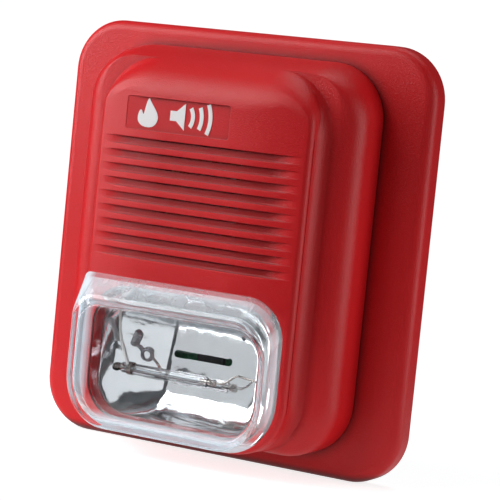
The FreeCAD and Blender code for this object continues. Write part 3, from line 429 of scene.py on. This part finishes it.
def put(o, body, slot, *nodes):
    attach(o, body)
    if nodes:
        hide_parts(*nodes)
    return o


# ================================================================ front cover
SH, ST, SB, SR = 54.1, 67.65, -67.45, 19.3       # lower stage: half width, top, bottom, corner
SD, SE = 28.0, 8.0                               # its depth and side rounding
DH, DR, FRONT = 41.6, 19.0, 38.6                 # dome: half width, corner, front depth
BACK = 9.2                                       # depth of the rim


def arch(d, inset=0.0):
    """Height of the cover's top at depth d: it rolls back from the front face."""
    a, b = FRONT - BACK - inset, ST - 48.4 - inset
    t = min(1.0, max(0.0, (d - BACK) / a))
    return 48.4 + b * math.sqrt(max(0.0, 1 - t * t))


def stage_rings(inset, d_back):
    hw, sb, r, e = SH - inset, SB + inset, SR - inset, SE - inset
    out = []
    top = SD - inset
    for k in range(0, 9):
        d = d_back + (top - e - d_back) * k / 8
        out.append(ring(-hw, hw, sb, arch(d, inset) - 0.06, r, r, d))
    for k in range(1, 13):
        a = math.radians(90.0 * k / 12)
        i = e * (1 - math.cos(a))
        d = top - e + e * math.sin(a)
        out.append(ring(-(hw - i), hw - i, sb + i, arch(d, inset) - 0.06, max(1.0, r - i), r - i, d))
    return out


def front_depth(x):
    """Depth of the dome's face at distance x from its middle line."""
    x = abs(x)
    return FRONT if x < 15 else FRONT - 0.00395 * (x - 15) ** 2


def dome_rings(inset, d_back, d_cut=0.0):
    hw, sb = DH - inset, SB + inset
    fr = FRONT - inset - d_cut
    out = []
    prof = []
    for k in range(0, 19):
        f = k / 18
        prof.append((hw - 0.35 * f, d_back + (33.9 - inset - d_back) * f))
    r = 2.4
    cx, cd = hw - 0.35 - r, 33.9 - inset
    for k in range(1, 9):
        a = math.radians(78.0 * k / 8)
        prof.append((cx + r * math.cos(a), cd + r * math.sin(a)))
    xe, de = prof[-1]
    x0 = 15.0
    kk = (fr - de) / (xe - x0) ** 2
    for k in range(1, 15):
        x = xe + (x0 - xe) * k / 14
        prof.append((x, fr - kk * (x - x0) ** 2))
    for w, d in prof:
        i = hw - w
        zt = arch(d + d_cut, inset) if d > d_back + 0.01 else arch(d_back, inset)
        t = max(0.0, d - (fr - 5.0)) / 5.0
        zb = sb + 1.4 * (1 - math.sqrt(max(0.0, 1 - t * t)))
        rt = max(2.0, DR - inset - 0.8 * i - 0.6 * (ST - inset - zt))
        rb = max(9.0, DR - inset - 0.5 * i)
        rx = max(3.0, DR - inset - 0.75 * i)
        out.append(ring(-w, w, zb, zt, rb, rt, d, rx0=rx, rx1=rx))
    return out


cover = loft("front_cover_shell", stage_rings(0.0, BACK))
dome = loft("dome", dome_rings(0.0, BACK))
fill = []
for k in range(0, 11):
    a = math.radians(90.0 * k / 10)
    w = DH + 5.0 - 5.2 * math.sin(a)
    d = SD - 0.4 + 6.2 * (1 - math.cos(a))
    i = DH - w
    fill.append(ring(-w, w, SB + 0.6, arch(d) - 0.12, DR - i * 0.5, DR - i * 0.5, d))
boolean(cover, dome, "UNION")
boolean(cover, loft("valley", fill), "UNION")
boolean(cover, loft("hollow_a", [ring(-(SH - 2.2), SH - 2.2, SB + 2.2, ST - 2.2, 17.1, 17.1, 2.0)] + stage_rings(2.2, BACK + 0.5)[0:]), "DIFFERENCE")
boolean(cover, loft("hollow_b", dome_rings(2.25, BACK + 0.2)), "DIFFERENCE")

# surround of the strobe opening, board posts, ribs and hooks
boolean(cover, loft("surround", [ring(-37, 37, -64.9, -14.9, 16, 16, d) for d in (32.0, 37.6)]), "UNION")
for sx in (-1, 1):
    for pz in (45.0, -40.0):
        boolean(cover, lathe("post", [(1.1, 11.0), (3.0, 11.0), (3.0, 26.5), (1.1, 26.5)], "red", (45.5 * sx, pz, 0.0), n=24), "UNION")
    x0, x1 = sorted((6.4 * sx, 8.9 * sx))
    boolean(cover, loft("rib", [ring(x0, x1, -66.3, -57.4, 0.3, 0.3, d, n=2) for d in (9.8, 15.8)]), "UNION")
    x0, x1 = 28.0 * sx - 5.0, 28.0 * sx + 5.0
    zt = 66.4
    hook = [(12.2, zt - 2.0), (3.9, zt - 2.0), (3.9, zt + 2.7), (4.2, zt + 3.0), (5.5, zt + 3.0), (5.9, zt + 2.6), (5.9, zt), (12.2, zt)]
    hv = [P(x0, z, d) for d, z in hook] + [P(x1, z, d) for d, z in hook]
    hn = len(hook)
    hf = [tuple(range(hn)), tuple(range(hn, 2 * hn))[::-1]] + [(k, (k + 1) % hn, (k + 1) % hn + hn, k + hn) for k in range(hn)]
    boolean(cover, make("hook", hv, hf, "red"), "UNION")


def flare(x0, x1, z0, z1, r, d0, d1, lip=0.45, floor=0.0, n=8):
    """A pocket cutter with a rounded rim at depth d1 and, if asked, a rounded floor at d0."""
    out = []
    if floor:
        for k in range(0, 5):
            a = math.radians(90.0 * k / 4)
            i = floor * (1 - math.sin(a))
            out.append(ring(x0 + i, x1 - i, z0 + i, z1 - i, max(0.15, r - i), max(0.15, r - i), d0 + floor * (1 - math.cos(a)), n))
    else:
        out.append(ring(x0, x1, z0, z1, r, r, d0, n))
    for k in range(0, 6):
        a = math.radians(90.0 * k / 5)
        i = lip * (1 - math.cos(a))
        out.append(ring(x0 - i, x1 + i, z0 - i, z1 + i, r + i, r + i, d1 - lip + lip * math.sin(a), n))
    out.append(ring(x0 - lip - 0.01, x1 + lip + 0.01, z0 - lip - 0.01, z1 + lip + 0.01, r + lip, r + lip, d1 + 4.0, n))
    return out


boolean(cover, loft("cut_lens", flare(-35, 35, -62.9, -16.9, 14, 30.0, FRONT, 0.5, n=12)), "DIFFERENCE")
boolean(cover, loft("cut_label", flare(-29.9, 11.2, 38.0, 49.4, 0.8, 37.6, FRONT, 0.3, 0.35, n=5)), "DIFFERENCE")

# nine grooves: dead straight, each running out on the soft shoulders
PITCH, LOW, GH = 4.83, -6.2, 2.8
gv, gf = [], []
for row in range(9):
    zc = LOW + GH / 2 + PITCH * row
    xs = [-38.6, -38.0, -37.0, -35.5, -33.5, -31, -28, -24, -20, -15, 15, 20, 24, 28, 31, 33.5, 35.5, 37.0, 38.0, 38.6]
    base = len(gv)
    m = 0
    for x in xs:
        f = front_depth(x)
        run = min(1.0, max(0.0, (38.6 - abs(x)) / 11.0))
        dep = 1.5 * (0.02 + 0.98 * run * run * (3 - 2 * run))
        h = GH / 2 - 0.10
        lip = min(0.38, dep * 0.5)
        prof = [(-h + 0.35, f - dep), (h - 0.35, f - dep)]
        prof = [(-h + 0.45, f - dep), (h - 0.30, f - dep), (h - 0.05, f - dep + 0.25 * min(1, dep))]
        for k in range(5):
            a = math.radians(90.0 * k / 4)
            prof.append((h + lip * (1 - math.cos(a)), f - lip + lip * math.sin(a)))
        prof.append((h + lip, f + 2.0))
        prof.append((-h - lip, f + 2.0))
        for k in range(4, -1, -1):
            a = math.radians(90.0 * k / 4)
            prof.append((-h - lip * (1 - math.cos(a)), f - lip + lip * math.sin(a)))
        prof.append((-h + 0.05, f - dep + 0.25 * min(1, dep)))
        m = len(prof)
        gv += [P(x, zc + z, d) for z, d in prof]
    for i in range(len(xs) - 1):
        for k in range(m):
            a, b = base + i * m + k, base + i * m + (k + 1) % m
            gf.append((a, b, b + m, a + m))
    gf.append(tuple(range(base, base + m))[::-1])
    gf.append(tuple(range(base + (len(xs) - 1) * m, base + len(xs) * m)))
boolean(cover, make("cut_grooves", gv, gf, "red"), "DIFFERENCE")
sv, sf = [], []
for row in range(9):
    z1 = LOW + GH + PITCH * row - 0.12
    q = ring(-17, 17, z1 - 0.34, z1, 0.15, 0.15, 34.0, 3)
    q2 = ring(-17, 17, z1 - 0.34, z1, 0.15, 0.15, 37.8, 3)
    base, m = len(sv), len(q)
    sv += q + q2
    sf += [tuple(range(base, base + m))[::-1], tuple(range(base + m, base + 2 * m))]
    sf += [(base + k, base + (k + 1) % m, base + m + (k + 1) % m, base + m + k) for k in range(m)]
boolean(cover, make("cut_slits", sv, sf, "red"), "DIFFERENCE")
boolean(cover, lathe("cut_lock", [(0.0, -69.0), (3.3, -69.0), (3.3, -66.45), (1.85, -66.3), (1.85, -60.0), (0.0, -60.0)], "red", (0, 0, 12.8), "Z", 32), "DIFFERENCE")
cover.data.materials.clear()
cover.data.materials.append(M["red_cover"])
finish_shading(cover, 28.0)
wn = cover.modifiers.new("weighted", "WEIGHTED_NORMAL")
wn.keep_sharp = True
wn.weight = 60
put(cover, "front_unit", "red_cover", "front_cover")

# ================================================================ strobe lens
def clear_hood():
    """Clear hood whose side walls are moulded with a fine ribbed frost."""
    m, nt, bs = new_mat("lens_clear")
    bs.inputs["Base Color"].default_value = (0.975, 0.985, 0.99, 1)
    bs.inputs["Transmission Weight"].default_value = 1.0
    bs.inputs["IOR"].default_value = 1.5
    vec = obj_coords(nt)
    n = noise(nt, vec, 120.0, 2.0, 0.5)
    nt.links.new(remap(nt, n, 0.4, 0.8, 0.0, 0.03), bs.inputs["Roughness"])
    nt.links.new(bump(nt, noise(nt, vec, 55.0, 1.0, 0.4), 1.0, 0.00022), bs.inputs["Normal"])
    out = next(x for x in nt.nodes if x.type == "OUTPUT_MATERIAL")
    fr = nt.nodes.new("ShaderNodeBsdfPrincipled")
    fr.inputs["Base Color"].default_value = (0.74, 0.83, 0.88, 1)
    fr.inputs["Transmission Weight"].default_value = 0.12
    fr.inputs["IOR"].default_value = 1.35
    ribs = nt.nodes.new("ShaderNodeTexWave")
    ribs.bands_direction = "X"
    ribs.inputs["Scale"].default_value = 330.0
    ribs.inputs["Distortion"].default_value = 0.4
    nt.links.new(vec, ribs.inputs["Vector"])
    nt.links.new(remap(nt, ribs.outputs["Fac"], 0.0, 1.0, 0.35, 0.5), fr.inputs["Roughness"])
    nt.links.new(bump(nt, ribs.outputs["Fac"], 0.6, 0.0001), fr.inputs["Normal"])
    sx = nt.nodes.new("ShaderNodeSeparateXYZ")
    nt.links.new(vec, sx.inputs["Vector"])
    left = remap(nt, sx.outputs["X"], -0.0340, -0.0370, 0.0, 1.0)
    low = remap(nt, sx.outputs["Z"], -0.0600, -0.0640, 0.0, 0.9)
    right = remap(nt, sx.outputs["X"], 0.0350, 0.0376, 0.0, 0.40)
    top = remap(nt, sx.outputs["Z"], -0.0250, -0.0190, 0.0, 0.30)
    sides = nt.nodes.new("ShaderNodeMath")
    sides.operation = "MAXIMUM"
    nt.links.new(right, sides.inputs[0])
    nt.links.new(top, sides.inputs[1])
    both = nt.nodes.new("ShaderNodeMath")
    both.operation = "MAXIMUM"
    nt.links.new(left, both.inputs[0])
    nt.links.new(sides.outputs[0], both.inputs[1])
    wall = remap(nt, sx.outputs["Y"], -0.0484, -0.0472, 0.0, 1.0)
    foot = remap(nt, sx.outputs["Y"], -0.0392, -0.0386, 1.0, 0.0)
    mx0 = nt.nodes.new("ShaderNodeMath")
    mx0.operation = "MAXIMUM"
    nt.links.new(both.outputs[0], mx0.inputs[0])
    nt.links.new(low, mx0.inputs[1])
    m1 = nt.nodes.new("ShaderNodeMath")
    m1.operation = "MULTIPLY"
    nt.links.new(mx0.outputs[0], m1.inputs[0])
    nt.links.new(wall, m1.inputs[1])
    m2 = nt.nodes.new("ShaderNodeMath")
    m2.operation = "MULTIPLY"
    nt.links.new(m1.outputs[0], m2.inputs[0])
    nt.links.new(foot, m2.inputs[1])
    cloud = remap(nt, noise(nt, vec, 160.0, 2.0, 0.5), 0.3, 0.7, 0.86, 1.0)
    m3 = nt.nodes.new("ShaderNodeMath")
    m3.operation = "MULTIPLY"
    nt.links.new(m2.outputs[0], m3.inputs[0])
    nt.links.new(cloud, m3.inputs[1])
    fz = nt.nodes.new("ShaderNodeMixShader")
    nt.links.new(m3.outputs[0], fz.inputs[0])
    nt.links.new(bs.outputs["BSDF"], fz.inputs[1])
    nt.links.new(fr.outputs["BSDF"], fz.inputs[2])
    tr = nt.nodes.new("ShaderNodeBsdfTransparent")
    tr.inputs["Color"].default_value = (0.9, 0.9, 0.9, 1)
    lp = nt.nodes.new("ShaderNodeLightPath")
    mx = nt.nodes.new("ShaderNodeMixShader")
    nt.links.new(lp.outputs["Is Shadow Ray"], mx.inputs[0])
    nt.links.new(fz.outputs["Shader"], mx.inputs[1])
    nt.links.new(tr.outputs["BSDF"], mx.inputs[2])
    nt.links.new(mx.outputs["Shader"], out.inputs["Surface"])
    return m


M["hood"] = clear_hood()


def hood_ring(t, i, d, n=14):
    """The hood at t of its height (0 base, 1 front), i mm inside its outer face."""
    return ring(-(39.5 - 1.5 * t) + i, 39.7 - 1.7 * t - i, -66.6 + 1.7 * t + i, -13.0 - 7.3 * t ** 0.9 - i * (1.0 + 0.25 * t),
                19.5 - 2.0 * t - i, 14.5 - 1.0 * t - i, d, n, rx0=18.0 - 2.0 * t - i, rx1=14.5 - 1.0 * t - i,
                r2=max(1.2, 2.0 + 6.5 * t - 0.6 * i))


LH = 48.55
rings = []
rings += [ring(-12, 12, -52, -34, 8, 8, LH - 1.85, 14), hood_ring(1.0, 12.0 - 1.0, LH - 1.9), hood_ring(1.0, 4.6, LH - 2.0)]
for k in range(0, 5):
    a = math.radians(90 - 90.0 * k / 4)
    rings.append(hood_ring(0.98, 2.9 - 1.0 * math.cos(a) , LH - 3.1 + 1.0 * math.sin(a)))
for k in range(1, 7):
    t = 0.9 * (1 - k / 6.0)
    rings.append(hood_ring(t, 1.9, 39.6 + (LH - 3.1 - 39.6) * t / 0.9 if t > 0 else 39.6))
rings += [ring(-33.4, 33.4, -61.4, -18.4, 12.6, 12.6, 39.2, 14), ring(-33.4, 33.4, -61.4, -18.4, 12.6, 12.6, 33.2, 14),
          ring(-34.65, 34.65, -62.6, -17.2, 13.7, 13.7, 33.2, 14), ring(-34.65, 34.65, -62.6, -17.2, 13.7, 13.7, 38.62, 14),
          hood_ring(0.0, 0.5, 38.62), hood_ring(0.0, 0.15, 38.7), hood_ring(0.0, 0.0, 39.0)]
for k in range(1, 9):
    t = 0.86 * k / 8.0
    rings.append(hood_ring(t, 0.0, 39.0 + (LH - 1.5 - 39.0) * t / 0.86))
for k in range(1, 8):
    a = math.radians(90.0 * k / 7)
    rings.append(hood_ring(0.86 + 0.14 * math.sin(a), 1.35 * (1 - math.cos(a)), LH - 1.5 + 1.22 * math.sin(a)))
rings += [hood_ring(1.0, 3.5, LH - 0.16), hood_ring(1.0, 8.0, LH - 0.05), ring(-12, 12, -52, -34, 8, 8, LH, 14)]
hood = loft("strobe_lens_hood", rings, "hood", True, 50.0)
put(hood, "front_unit", "lens_clear", "strobe_lens")

# ================================================================== reflector
U = []
for k in range(9):
    U.append(-1 + 0.34 * (1 - math.cos(math.radians(90.0 * k / 8))))
U = U + [-0.52, -0.44, -10.0 / 26.2, -0.3, -0.2, -0.05, 0.1, 0.25, 0.4, 0.52] + [-u for u in U[::-1]]


def facet(x, z):
    """Depth of the bowl's back: two flats that meet in an upright crease."""
    return 17.4 + 0.56 * max(0.0, -13.5 - x) + 0.02 * max(0.0, x + 13.5) - 0.2 * (z + 36.0)


def bowl(x0, x1, z0, z1, r, depth):
    """A ring of the bowl, along the top and back along the bottom."""
    mid, hw = (x0 + x1) / 2, (x1 - x0) / 2
    pts = []
    for sgn in (1, -1):
        for u in (U if sgn > 0 else U[::-1]):
            x = mid + hw * u
            over = max(0.0, abs(x - mid) - (hw - r))
            drop = r - math.sqrt(max(0.0, r * r - over * over))
            z = z1 - drop if sgn > 0 else z0 + drop
            pts.append(P(x, z, depth(x, z)))
    return pts


def bowl_in(t, grow, depth):
    a, b = 1 - math.cos(math.radians(90 * t)), math.sin(math.radians(90 * t))
    g = grow
    return bowl(-34.2 + 4.5 * a - g, 34.2 - 11.5 * a + g, -62.3 + 12.0 * a - g, -17.2 - 4.0 * a + g, 13.2 - 6.5 * a + g * 0.6,
                lambda x, z: 32.0 - depth - (32.0 - facet(x, z)) * b)


def ladder(base, faces, rungs, depth, verts, flip):
    """Fills a ring made by bowl() with a grid between its top and bottom."""
    n = len(U)
    cols = []
    for k in range(n):
        top, bot = base + k, base + 2 * n - 1 - k
        col = [top]
        if k in (0, n - 1):
            cols.append([top, bot])
            continue
        xt, yt, zt = verts[top]
        xb, yb, zb = verts[bot]
        for j in range(1, rungs):
            f = j / rungs
            x, z = xt + (xb - xt) * f, zt + (zb - zt) * f
            verts.append((x, yt + (yb - yt) * f, z))
            col.append(len(verts) - 1)
        col.append(bot)
        cols.append(col)
    faces.append(tuple([cols[0][0]] + cols[1] + [cols[0][-1]]))
    faces.append(tuple([cols[-1][0]] + cols[-2] + [cols[-1][-1]]))
    for k in range(1, n - 2):
        for j in range(rungs):
            q = (cols[k][j], cols[k + 1][j], cols[k + 1][j + 1], cols[k][j + 1])
            faces.append(q[::-1] if flip else q)


LV = 12
seq = [bowl_in(1 - k / LV, 0.0, 0.0) for k in range(LV + 1)]
flat = lambda d: (lambda x, z: d)
seq += [bowl(-36.6, 36.6, -64.5, -15.3, 15.4, flat(31.95)), bowl(-36.6, 36.6, -64.5, -15.3, 15.4, flat(30.8)),
        bowl(-35.3, 35.3, -63.4, -16.1, 14.3, flat(30.75))]
seq += [bowl_in(k / LV, 1.1, 1.2) for k in range(2, LV + 1)]
rv = [p for r in seq for p in r]
rn = len(seq[0])
rf = []
for i in range(len(seq) - 1):
    for k in range(rn):
        a, b = i * rn + k, i * rn + (k + 1) % rn
        rf.append((a, b, b + rn, a + rn))
ladder(0, rf, 8, None, rv, False)
ladder((len(seq) - 1) * rn, rf, 8, None, rv, True)
refl = make("reflector_bowl", rv, rf, "chrome", 21.0)


def pin(x, z, r, d0, d1, n=24):
    return lathe("pin", [(0.0, d0), (r, d0), (r, d1), (0.0, d1)], "chrome", (x, z, 0.0), n=n)


boolean(refl, pin(-29.2, -46.0, 1.5, 10.0, 34.0), "DIFFERENCE")
boolean(refl, loft("slot", [ring(-12.5, 11.0, -40.6, -37.8, 1.3, 1.3, d, 6) for d in (12.0, 24.0)]), "DIFFERENCE")
boolean(refl, lathe("side_hole", [(0.0, 28.0), (0.85, 28.0), (0.85, 38.0), (0.0, 38.0)], "chrome", (0.0, -42.8, 26.0), "X", 20), "DIFFERENCE")
boolean(refl, lathe("roof_hole", [(0.0, -24.0), (0.9, -24.0), (0.9, -12.0), (0.0, -12.0)], "chrome", (-29.3, 0.0, 29.7), "Z", 20), "DIFFERENCE")
for x, z in ((-20.0, -31.0), (14.0, -30.0)):
    boolean(refl, lathe("post", [(1.05, 11.0), (2.6, 11.0), (2.6, facet(x, z) - (0.6 if x > -13.5 else 1.7)), (1.05, facet(x, z) - (0.6 if x > -13.5 else 1.7))], "chrome", (x, z, 0.0), n=28), "UNION")
refl.data.materials.clear()
refl.data.materials.append(M["chrome"])
finish_shading(refl, 32.0)
put(refl, "front_unit", "reflector_chrome", "reflector")

# ================================================================= flash tube
TZ, TD = -45.9, 27.5
glass = lathe("flash_tube", [(0.9, -28.0), (1.5, -27.7), (1.85, -26.9), (1.9, -26.0), (1.9, 5.6), (1.85, 6.4), (1.5, 7.0), (0.9, 7.3),
                             (0.9, 6.2), (1.25, 5.4), (1.3, 4.8), (1.3, -25.2), (1.25, -26.0), (0.9, -26.8), (0.9, -28.0)],
              "tube", (0.0, TZ, TD), "X", 40, 50)
put(glass, "front_unit", "tube_glass", "flash_tube_glass")
parts = []
for x0, x1, sgn in ((-28.9, -25.4, -1), (4.4, 8.4, 1)):
    parts.append(lathe("end_cap", [(0.0, x0), (0.85, x0), (0.88, x0 + 0.3), (0.88, x1 - 0.3), (0.85, x1), (0.0, x1)], "nickel", (0.0, TZ, TD), "X", 28))
    xc = x0 - 0.2 if sgn < 0 else x1 + 0.1
    turns = []
    for k in range(0, 61):
        a = 2 * math.pi * 2.6 * k / 60
        turns.append((xc - sgn * 0.4 + sgn * 2.2 * k / 60, TZ + 1.15 * math.cos(a), TD + 1.15 * math.sin(a)))
    parts.append(tube("end_wrap", turns, 0.24, "nickel", 10))
parts.append(tube("lead_l", [(-28.0, TZ, TD), (-30.3, TZ, TD), (-30.7, TZ + 0.6, TD - 0.8), (-30.0, TZ + 0.2, TD - 3.0), (-29.2, TZ, TD - 5.0), (-29.2, TZ, 18.0), (-29.2, TZ, 11.02)], 0.45, "nickel"))
parts.append(tube("lead_r", [(8.0, TZ, TD), (11.5, TZ + 0.1, TD), (14.0, -45.2, TD - 0.3), (16.0, -43.2, TD - 0.8), (18.0, -42.0, 26.4), (20.0, -42.5, 26.1), (23.5, -42.8, 26.0), (31.0, -42.8, 26.0), (34.4, -42.8, 26.0), (35.4, -42.8, 25.6), (35.5, -42.8, 24.0), (35.5, -42.8, 11.02)], 0.45, "nickel"))
ends = join("flash_tube_ends", parts)
put(ends, "front_unit", "electrode_metal", "flash_tube_electrodes")
sl = [lathe("sleeve_l", [(0.55, 12.0), (1.05, 12.0), (1.05, 21.5), (0.55, 21.5), (0.55, 12.0)], "sleeve", (-29.2, TZ, 0.0), n=24),
      lathe("sleeve_r", [(0.55, 12.0), (1.05, 12.0), (1.05, 23.0), (0.55, 23.0), (0.55, 12.0)], "sleeve", (35.5, -42.8, 0.0), n=24)]
put(join("lead_sleeves", sl), "front_unit", "sleeve_white", "tube_lead_sleeves")
wire = [tube("wire_drop", [(-29.3, -13.5, 11.05), (-29.3, -13.5, 24.0), (-29.3, -13.6, 29.0), (-29.3, -15.0, 29.7), (-29.4, -22.0, 29.7), (-28.9, -30.0, 29.7), (-27.9, -35.5, 29.7), (-26.0, -40.0, 29.9), (-24.6, -43.0, 30.0), (-24.2, -44.4, 29.6)], 0.5, "sleeve"),]
put(wire[0], "front_unit", "trigger_wire_white", "trigger_wire")
turns = []
for k in range(0, 97):
    a = 2 * math.pi * 4 * k / 96 + 1.0
    turns.append((-24.9 + 2.0 * k / 96, TZ + 2.12 * math.cos(a), TD + 2.12 * math.sin(a)))
tw = tube("trigger_turns", turns, 0.2, "nickel", 8)
put(tw, "front_unit", "trigger_wire_white")

# two small screws that hold the bowl, one with a wire eyelet under its head
sc = []
thread = [(0.0, 0.0)]
for k in range(6):
    thread += [(0.95, 0.15 + k), (1.5, 0.45 + k), (1.5, 0.6 + k), (0.95, 0.9 + k)]
thread += [(0.95, 6.3), (0.0, 6.3)]
for mat, lo, hi in (("stud", (-25.3, -37.6, 24.6), (-21.4, -32.3, 28.4)), ("chrome", (14.0, -30.0, 12.5), (14.0, -30.0, 17.0))):
    stud = lathe("stud", thread, mat, (0.0, 0.0, 0.0), n=24, smooth=25.0)
    lo, hi = Vector(P(*lo)), Vector(P(*hi))
    q = Vector(P(0.0, 0.0, 1.0)).rotation_difference((hi - lo).normalized())
    stud.data.transform(Matrix.Translation(lo) @ q.to_matrix().to_4x4() @ Matrix.Scale((hi - lo).length / 0.0063, 4, Vector((0.0, -1.0, 0.0))))
    sc.append(stud)
eye = []
for k in range(0, 97):
    a = 2 * math.pi * 2.6 * k / 96 + 0.6
    r = 2.3 - 0.6 * k / 96
    eye.append((-19.7 + r * math.cos(a), -40.5 + r * math.sin(a), 23.6 + 1.9 * k / 96))
sc.append(tube("eyelet", eye, 0.45, "stud", 12))
sc.append(tube("eyelet_neck", [(-21.6, -39.6, 24.3), (-22.6, -38.6, 24.3), (-23.6, -37.6, 24.6), (-24.4, -36.9, 25.3)], 0.85, "stud", 12))
sc.append(tube("eyelet_tail", [(-17.9, -41.5, 23.6), (-16.6, -43.2, 22.6), (-15.8, -45.0, 21.4), (-15.3, -46.5, 20.4), (-15.2, -47.2, 18.8)], 0.5, "nickel", 12))
put(join("bowl_screws", sc), "front_unit", "reflector_screw_steel", "reflector_screws")

# ===================================================================== camera
cam_d = bpy.data.cameras.new("camera")
cam = bpy.data.objects.new("camera", cam_d)
coll.objects.link(cam)
right = Vector((0.8742755674575108, 0.47510659452133835, 0.09957889329162195))
up = Vector((-0.1301438025180109, 0.031782970304183866, 0.9909855869107262))
fwd = Vector((-0.46765887440847376, 0.8793540621620963, -0.08961925321056524))
rot = Matrix((right, up, -fwd)).transposed()
cam.matrix_world = Matrix.Translation(Vector((0.36332679, -0.67692753, 0.06758861))) @ rot.to_4x4()
cam_d.sensor_width = 36.0
cam_d.lens = 2173.1920368664987 / 500.0 * 36.0
cam_d.clip_start, cam_d.clip_end = 0.01, 20.0
scene.camera = cam

# ====================================================== floor, light, backdrop
def stage_mat(name, col, rough, glow):
    m, nt, bs = new_mat(name)
    vec = obj_coords(nt)
    n = noise(nt, vec, 12.0, 3.0)
    nt.links.new(ramp(nt, n, [(0.3, tuple(c * 0.985 for c in col)), (0.7, col)]), bs.inputs["Base Color"])
    nt.links.new(remap(nt, n, 0.3, 0.7, rough, rough + 0.1), bs.inputs["Roughness"])
    bs.inputs["Emission Color"].default_value = (1.0, 1.0, 1.0, 1)
    lp = nt.nodes.new("ShaderNodeLightPath")
    nt.links.new(remap(nt, lp.outputs["Is Camera Ray"], 0.0, 1.0, glow * 0.45, glow), bs.inputs["Emission Strength"])
    return m


white = stage_mat("paper_white", (0.55, 0.56, 0.56), 0.8, 0.80)
fv = [(-0.20, -0.13, -0.0752), (0.26, -0.13, -0.0752), (0.26, 0.16, -0.0752), (-0.20, 0.16, -0.0752)]
floor = make("studio_floor", fv, [(0, 1, 2, 3)], white, 60)
floor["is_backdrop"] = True

world = bpy.data.worlds.new("studio") if not bpy.data.worlds else bpy.data.worlds[0]
scene.world = world
world.use_nodes = True
wt = world.node_tree
bg = next(n for n in wt.nodes if n.type == "BACKGROUND")
bg.inputs["Color"].default_value = (0.93, 0.96, 1.0, 1)
bg.inputs["Strength"].default_value = 0.06
paper = wt.nodes.new("ShaderNodeBackground")
paper.inputs["Color"].default_value = (1.0, 1.0, 1.0, 1)
paper.inputs["Strength"].default_value = 1.05
seen = wt.nodes.new("ShaderNodeLightPath")
pick = wt.nodes.new("ShaderNodeMixShader")
wt.links.new(seen.outputs["Is Camera Ray"], pick.inputs[0])
wt.links.new(bg.outputs[0], pick.inputs[1])
wt.links.new(paper.outputs[0], pick.inputs[2])
wt.links.new(pick.outputs[0], next(n for n in wt.nodes if n.type == "OUTPUT_WORLD").inputs["Surface"])


def area(name, loc, target, size_x, size_y, power, col=(1, 1, 1)):
    ld = bpy.data.lights.new(name, "AREA")
    ld.shape = "RECTANGLE"
    ld.size, ld.size_y = size_x, size_y
    ld.energy = power
    ld.color = col
    o = bpy.data.objects.new(name, ld)
    coll.objects.link(o)
    o.location = loc
    o.rotation_mode = "QUATERNION"
    o.rotation_quaternion = (Vector(target) - Vector(loc)).to_track_quat("-Z", "Y")
    return o


area("key_left", (-0.42, -0.26, 0.15), (0.0, 0.0, 0.0), 0.22, 0.34, 1.8, (1.0, 0.97, 1.0))
area("fill_top_left", (-0.56, -0.64, 0.74), (0, 0, 0), 0.75, 0.60, 6.4)
area("top_back", (0.0, 0.25, 1.1), (0.0, 0.0, 0.0), 0.7, 0.5, 3.0)
area("strip_right", (0.85, 0.16, 0.08), (0, 0, 0), 0.45, 0.8, 3.2)
area("card_left", (-0.40, -0.88, 0.27), (0, 0, -0.035), 0.48, 0.34, 0.33, (0.95, 0.98, 1.0))
area("card_front", (0.45, -0.90, 0.27), (0, 0, -0.035), 0.56, 0.34, 0.52, (0.95, 0.98, 1.0))

scene.view_settings.view_transform = "Standard"
scene.view_settings.look = "None"
scene.view_settings.exposure = 0.0
scene.view_settings.gamma = 1.0

# ============================================== CAD nodes that stay as they are
KEEP = {"outer_frame": "red", "back_plate": "plate", "frame_screws": "steel", "cable_grommet": "rubber", "cover_gasket": "seal",
        "label_symbol": "white",
        "main_board": "board", "board_screws": "steel", "terminal_block": "green", "terminal_screws": "steel",
        "dip_switch_body": "blue", "storage_capacitor": "cap", "trigger_transformer": "yellow", "boost_inductor": "ferrite",
        "control_chips": "chip", "small_components": "tan", "sounder_housing": "black", "sounder_ring": "black",
        "piezo_disc": "brass", "piezo_ceramic": "ceramic", "sounder_leads": "redlead", "lock_nut": "steel",
        "lock_screw": "steel", "lock_screw_ring": "nylon"}
for i in range(1, 5):
    KEEP["dip_slider_%d" % i] = "nylon"
for node, key in KEEP.items():
    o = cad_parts[node]
    o.data.materials.clear()
    o.data.materials.append(M[key])

lo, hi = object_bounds()
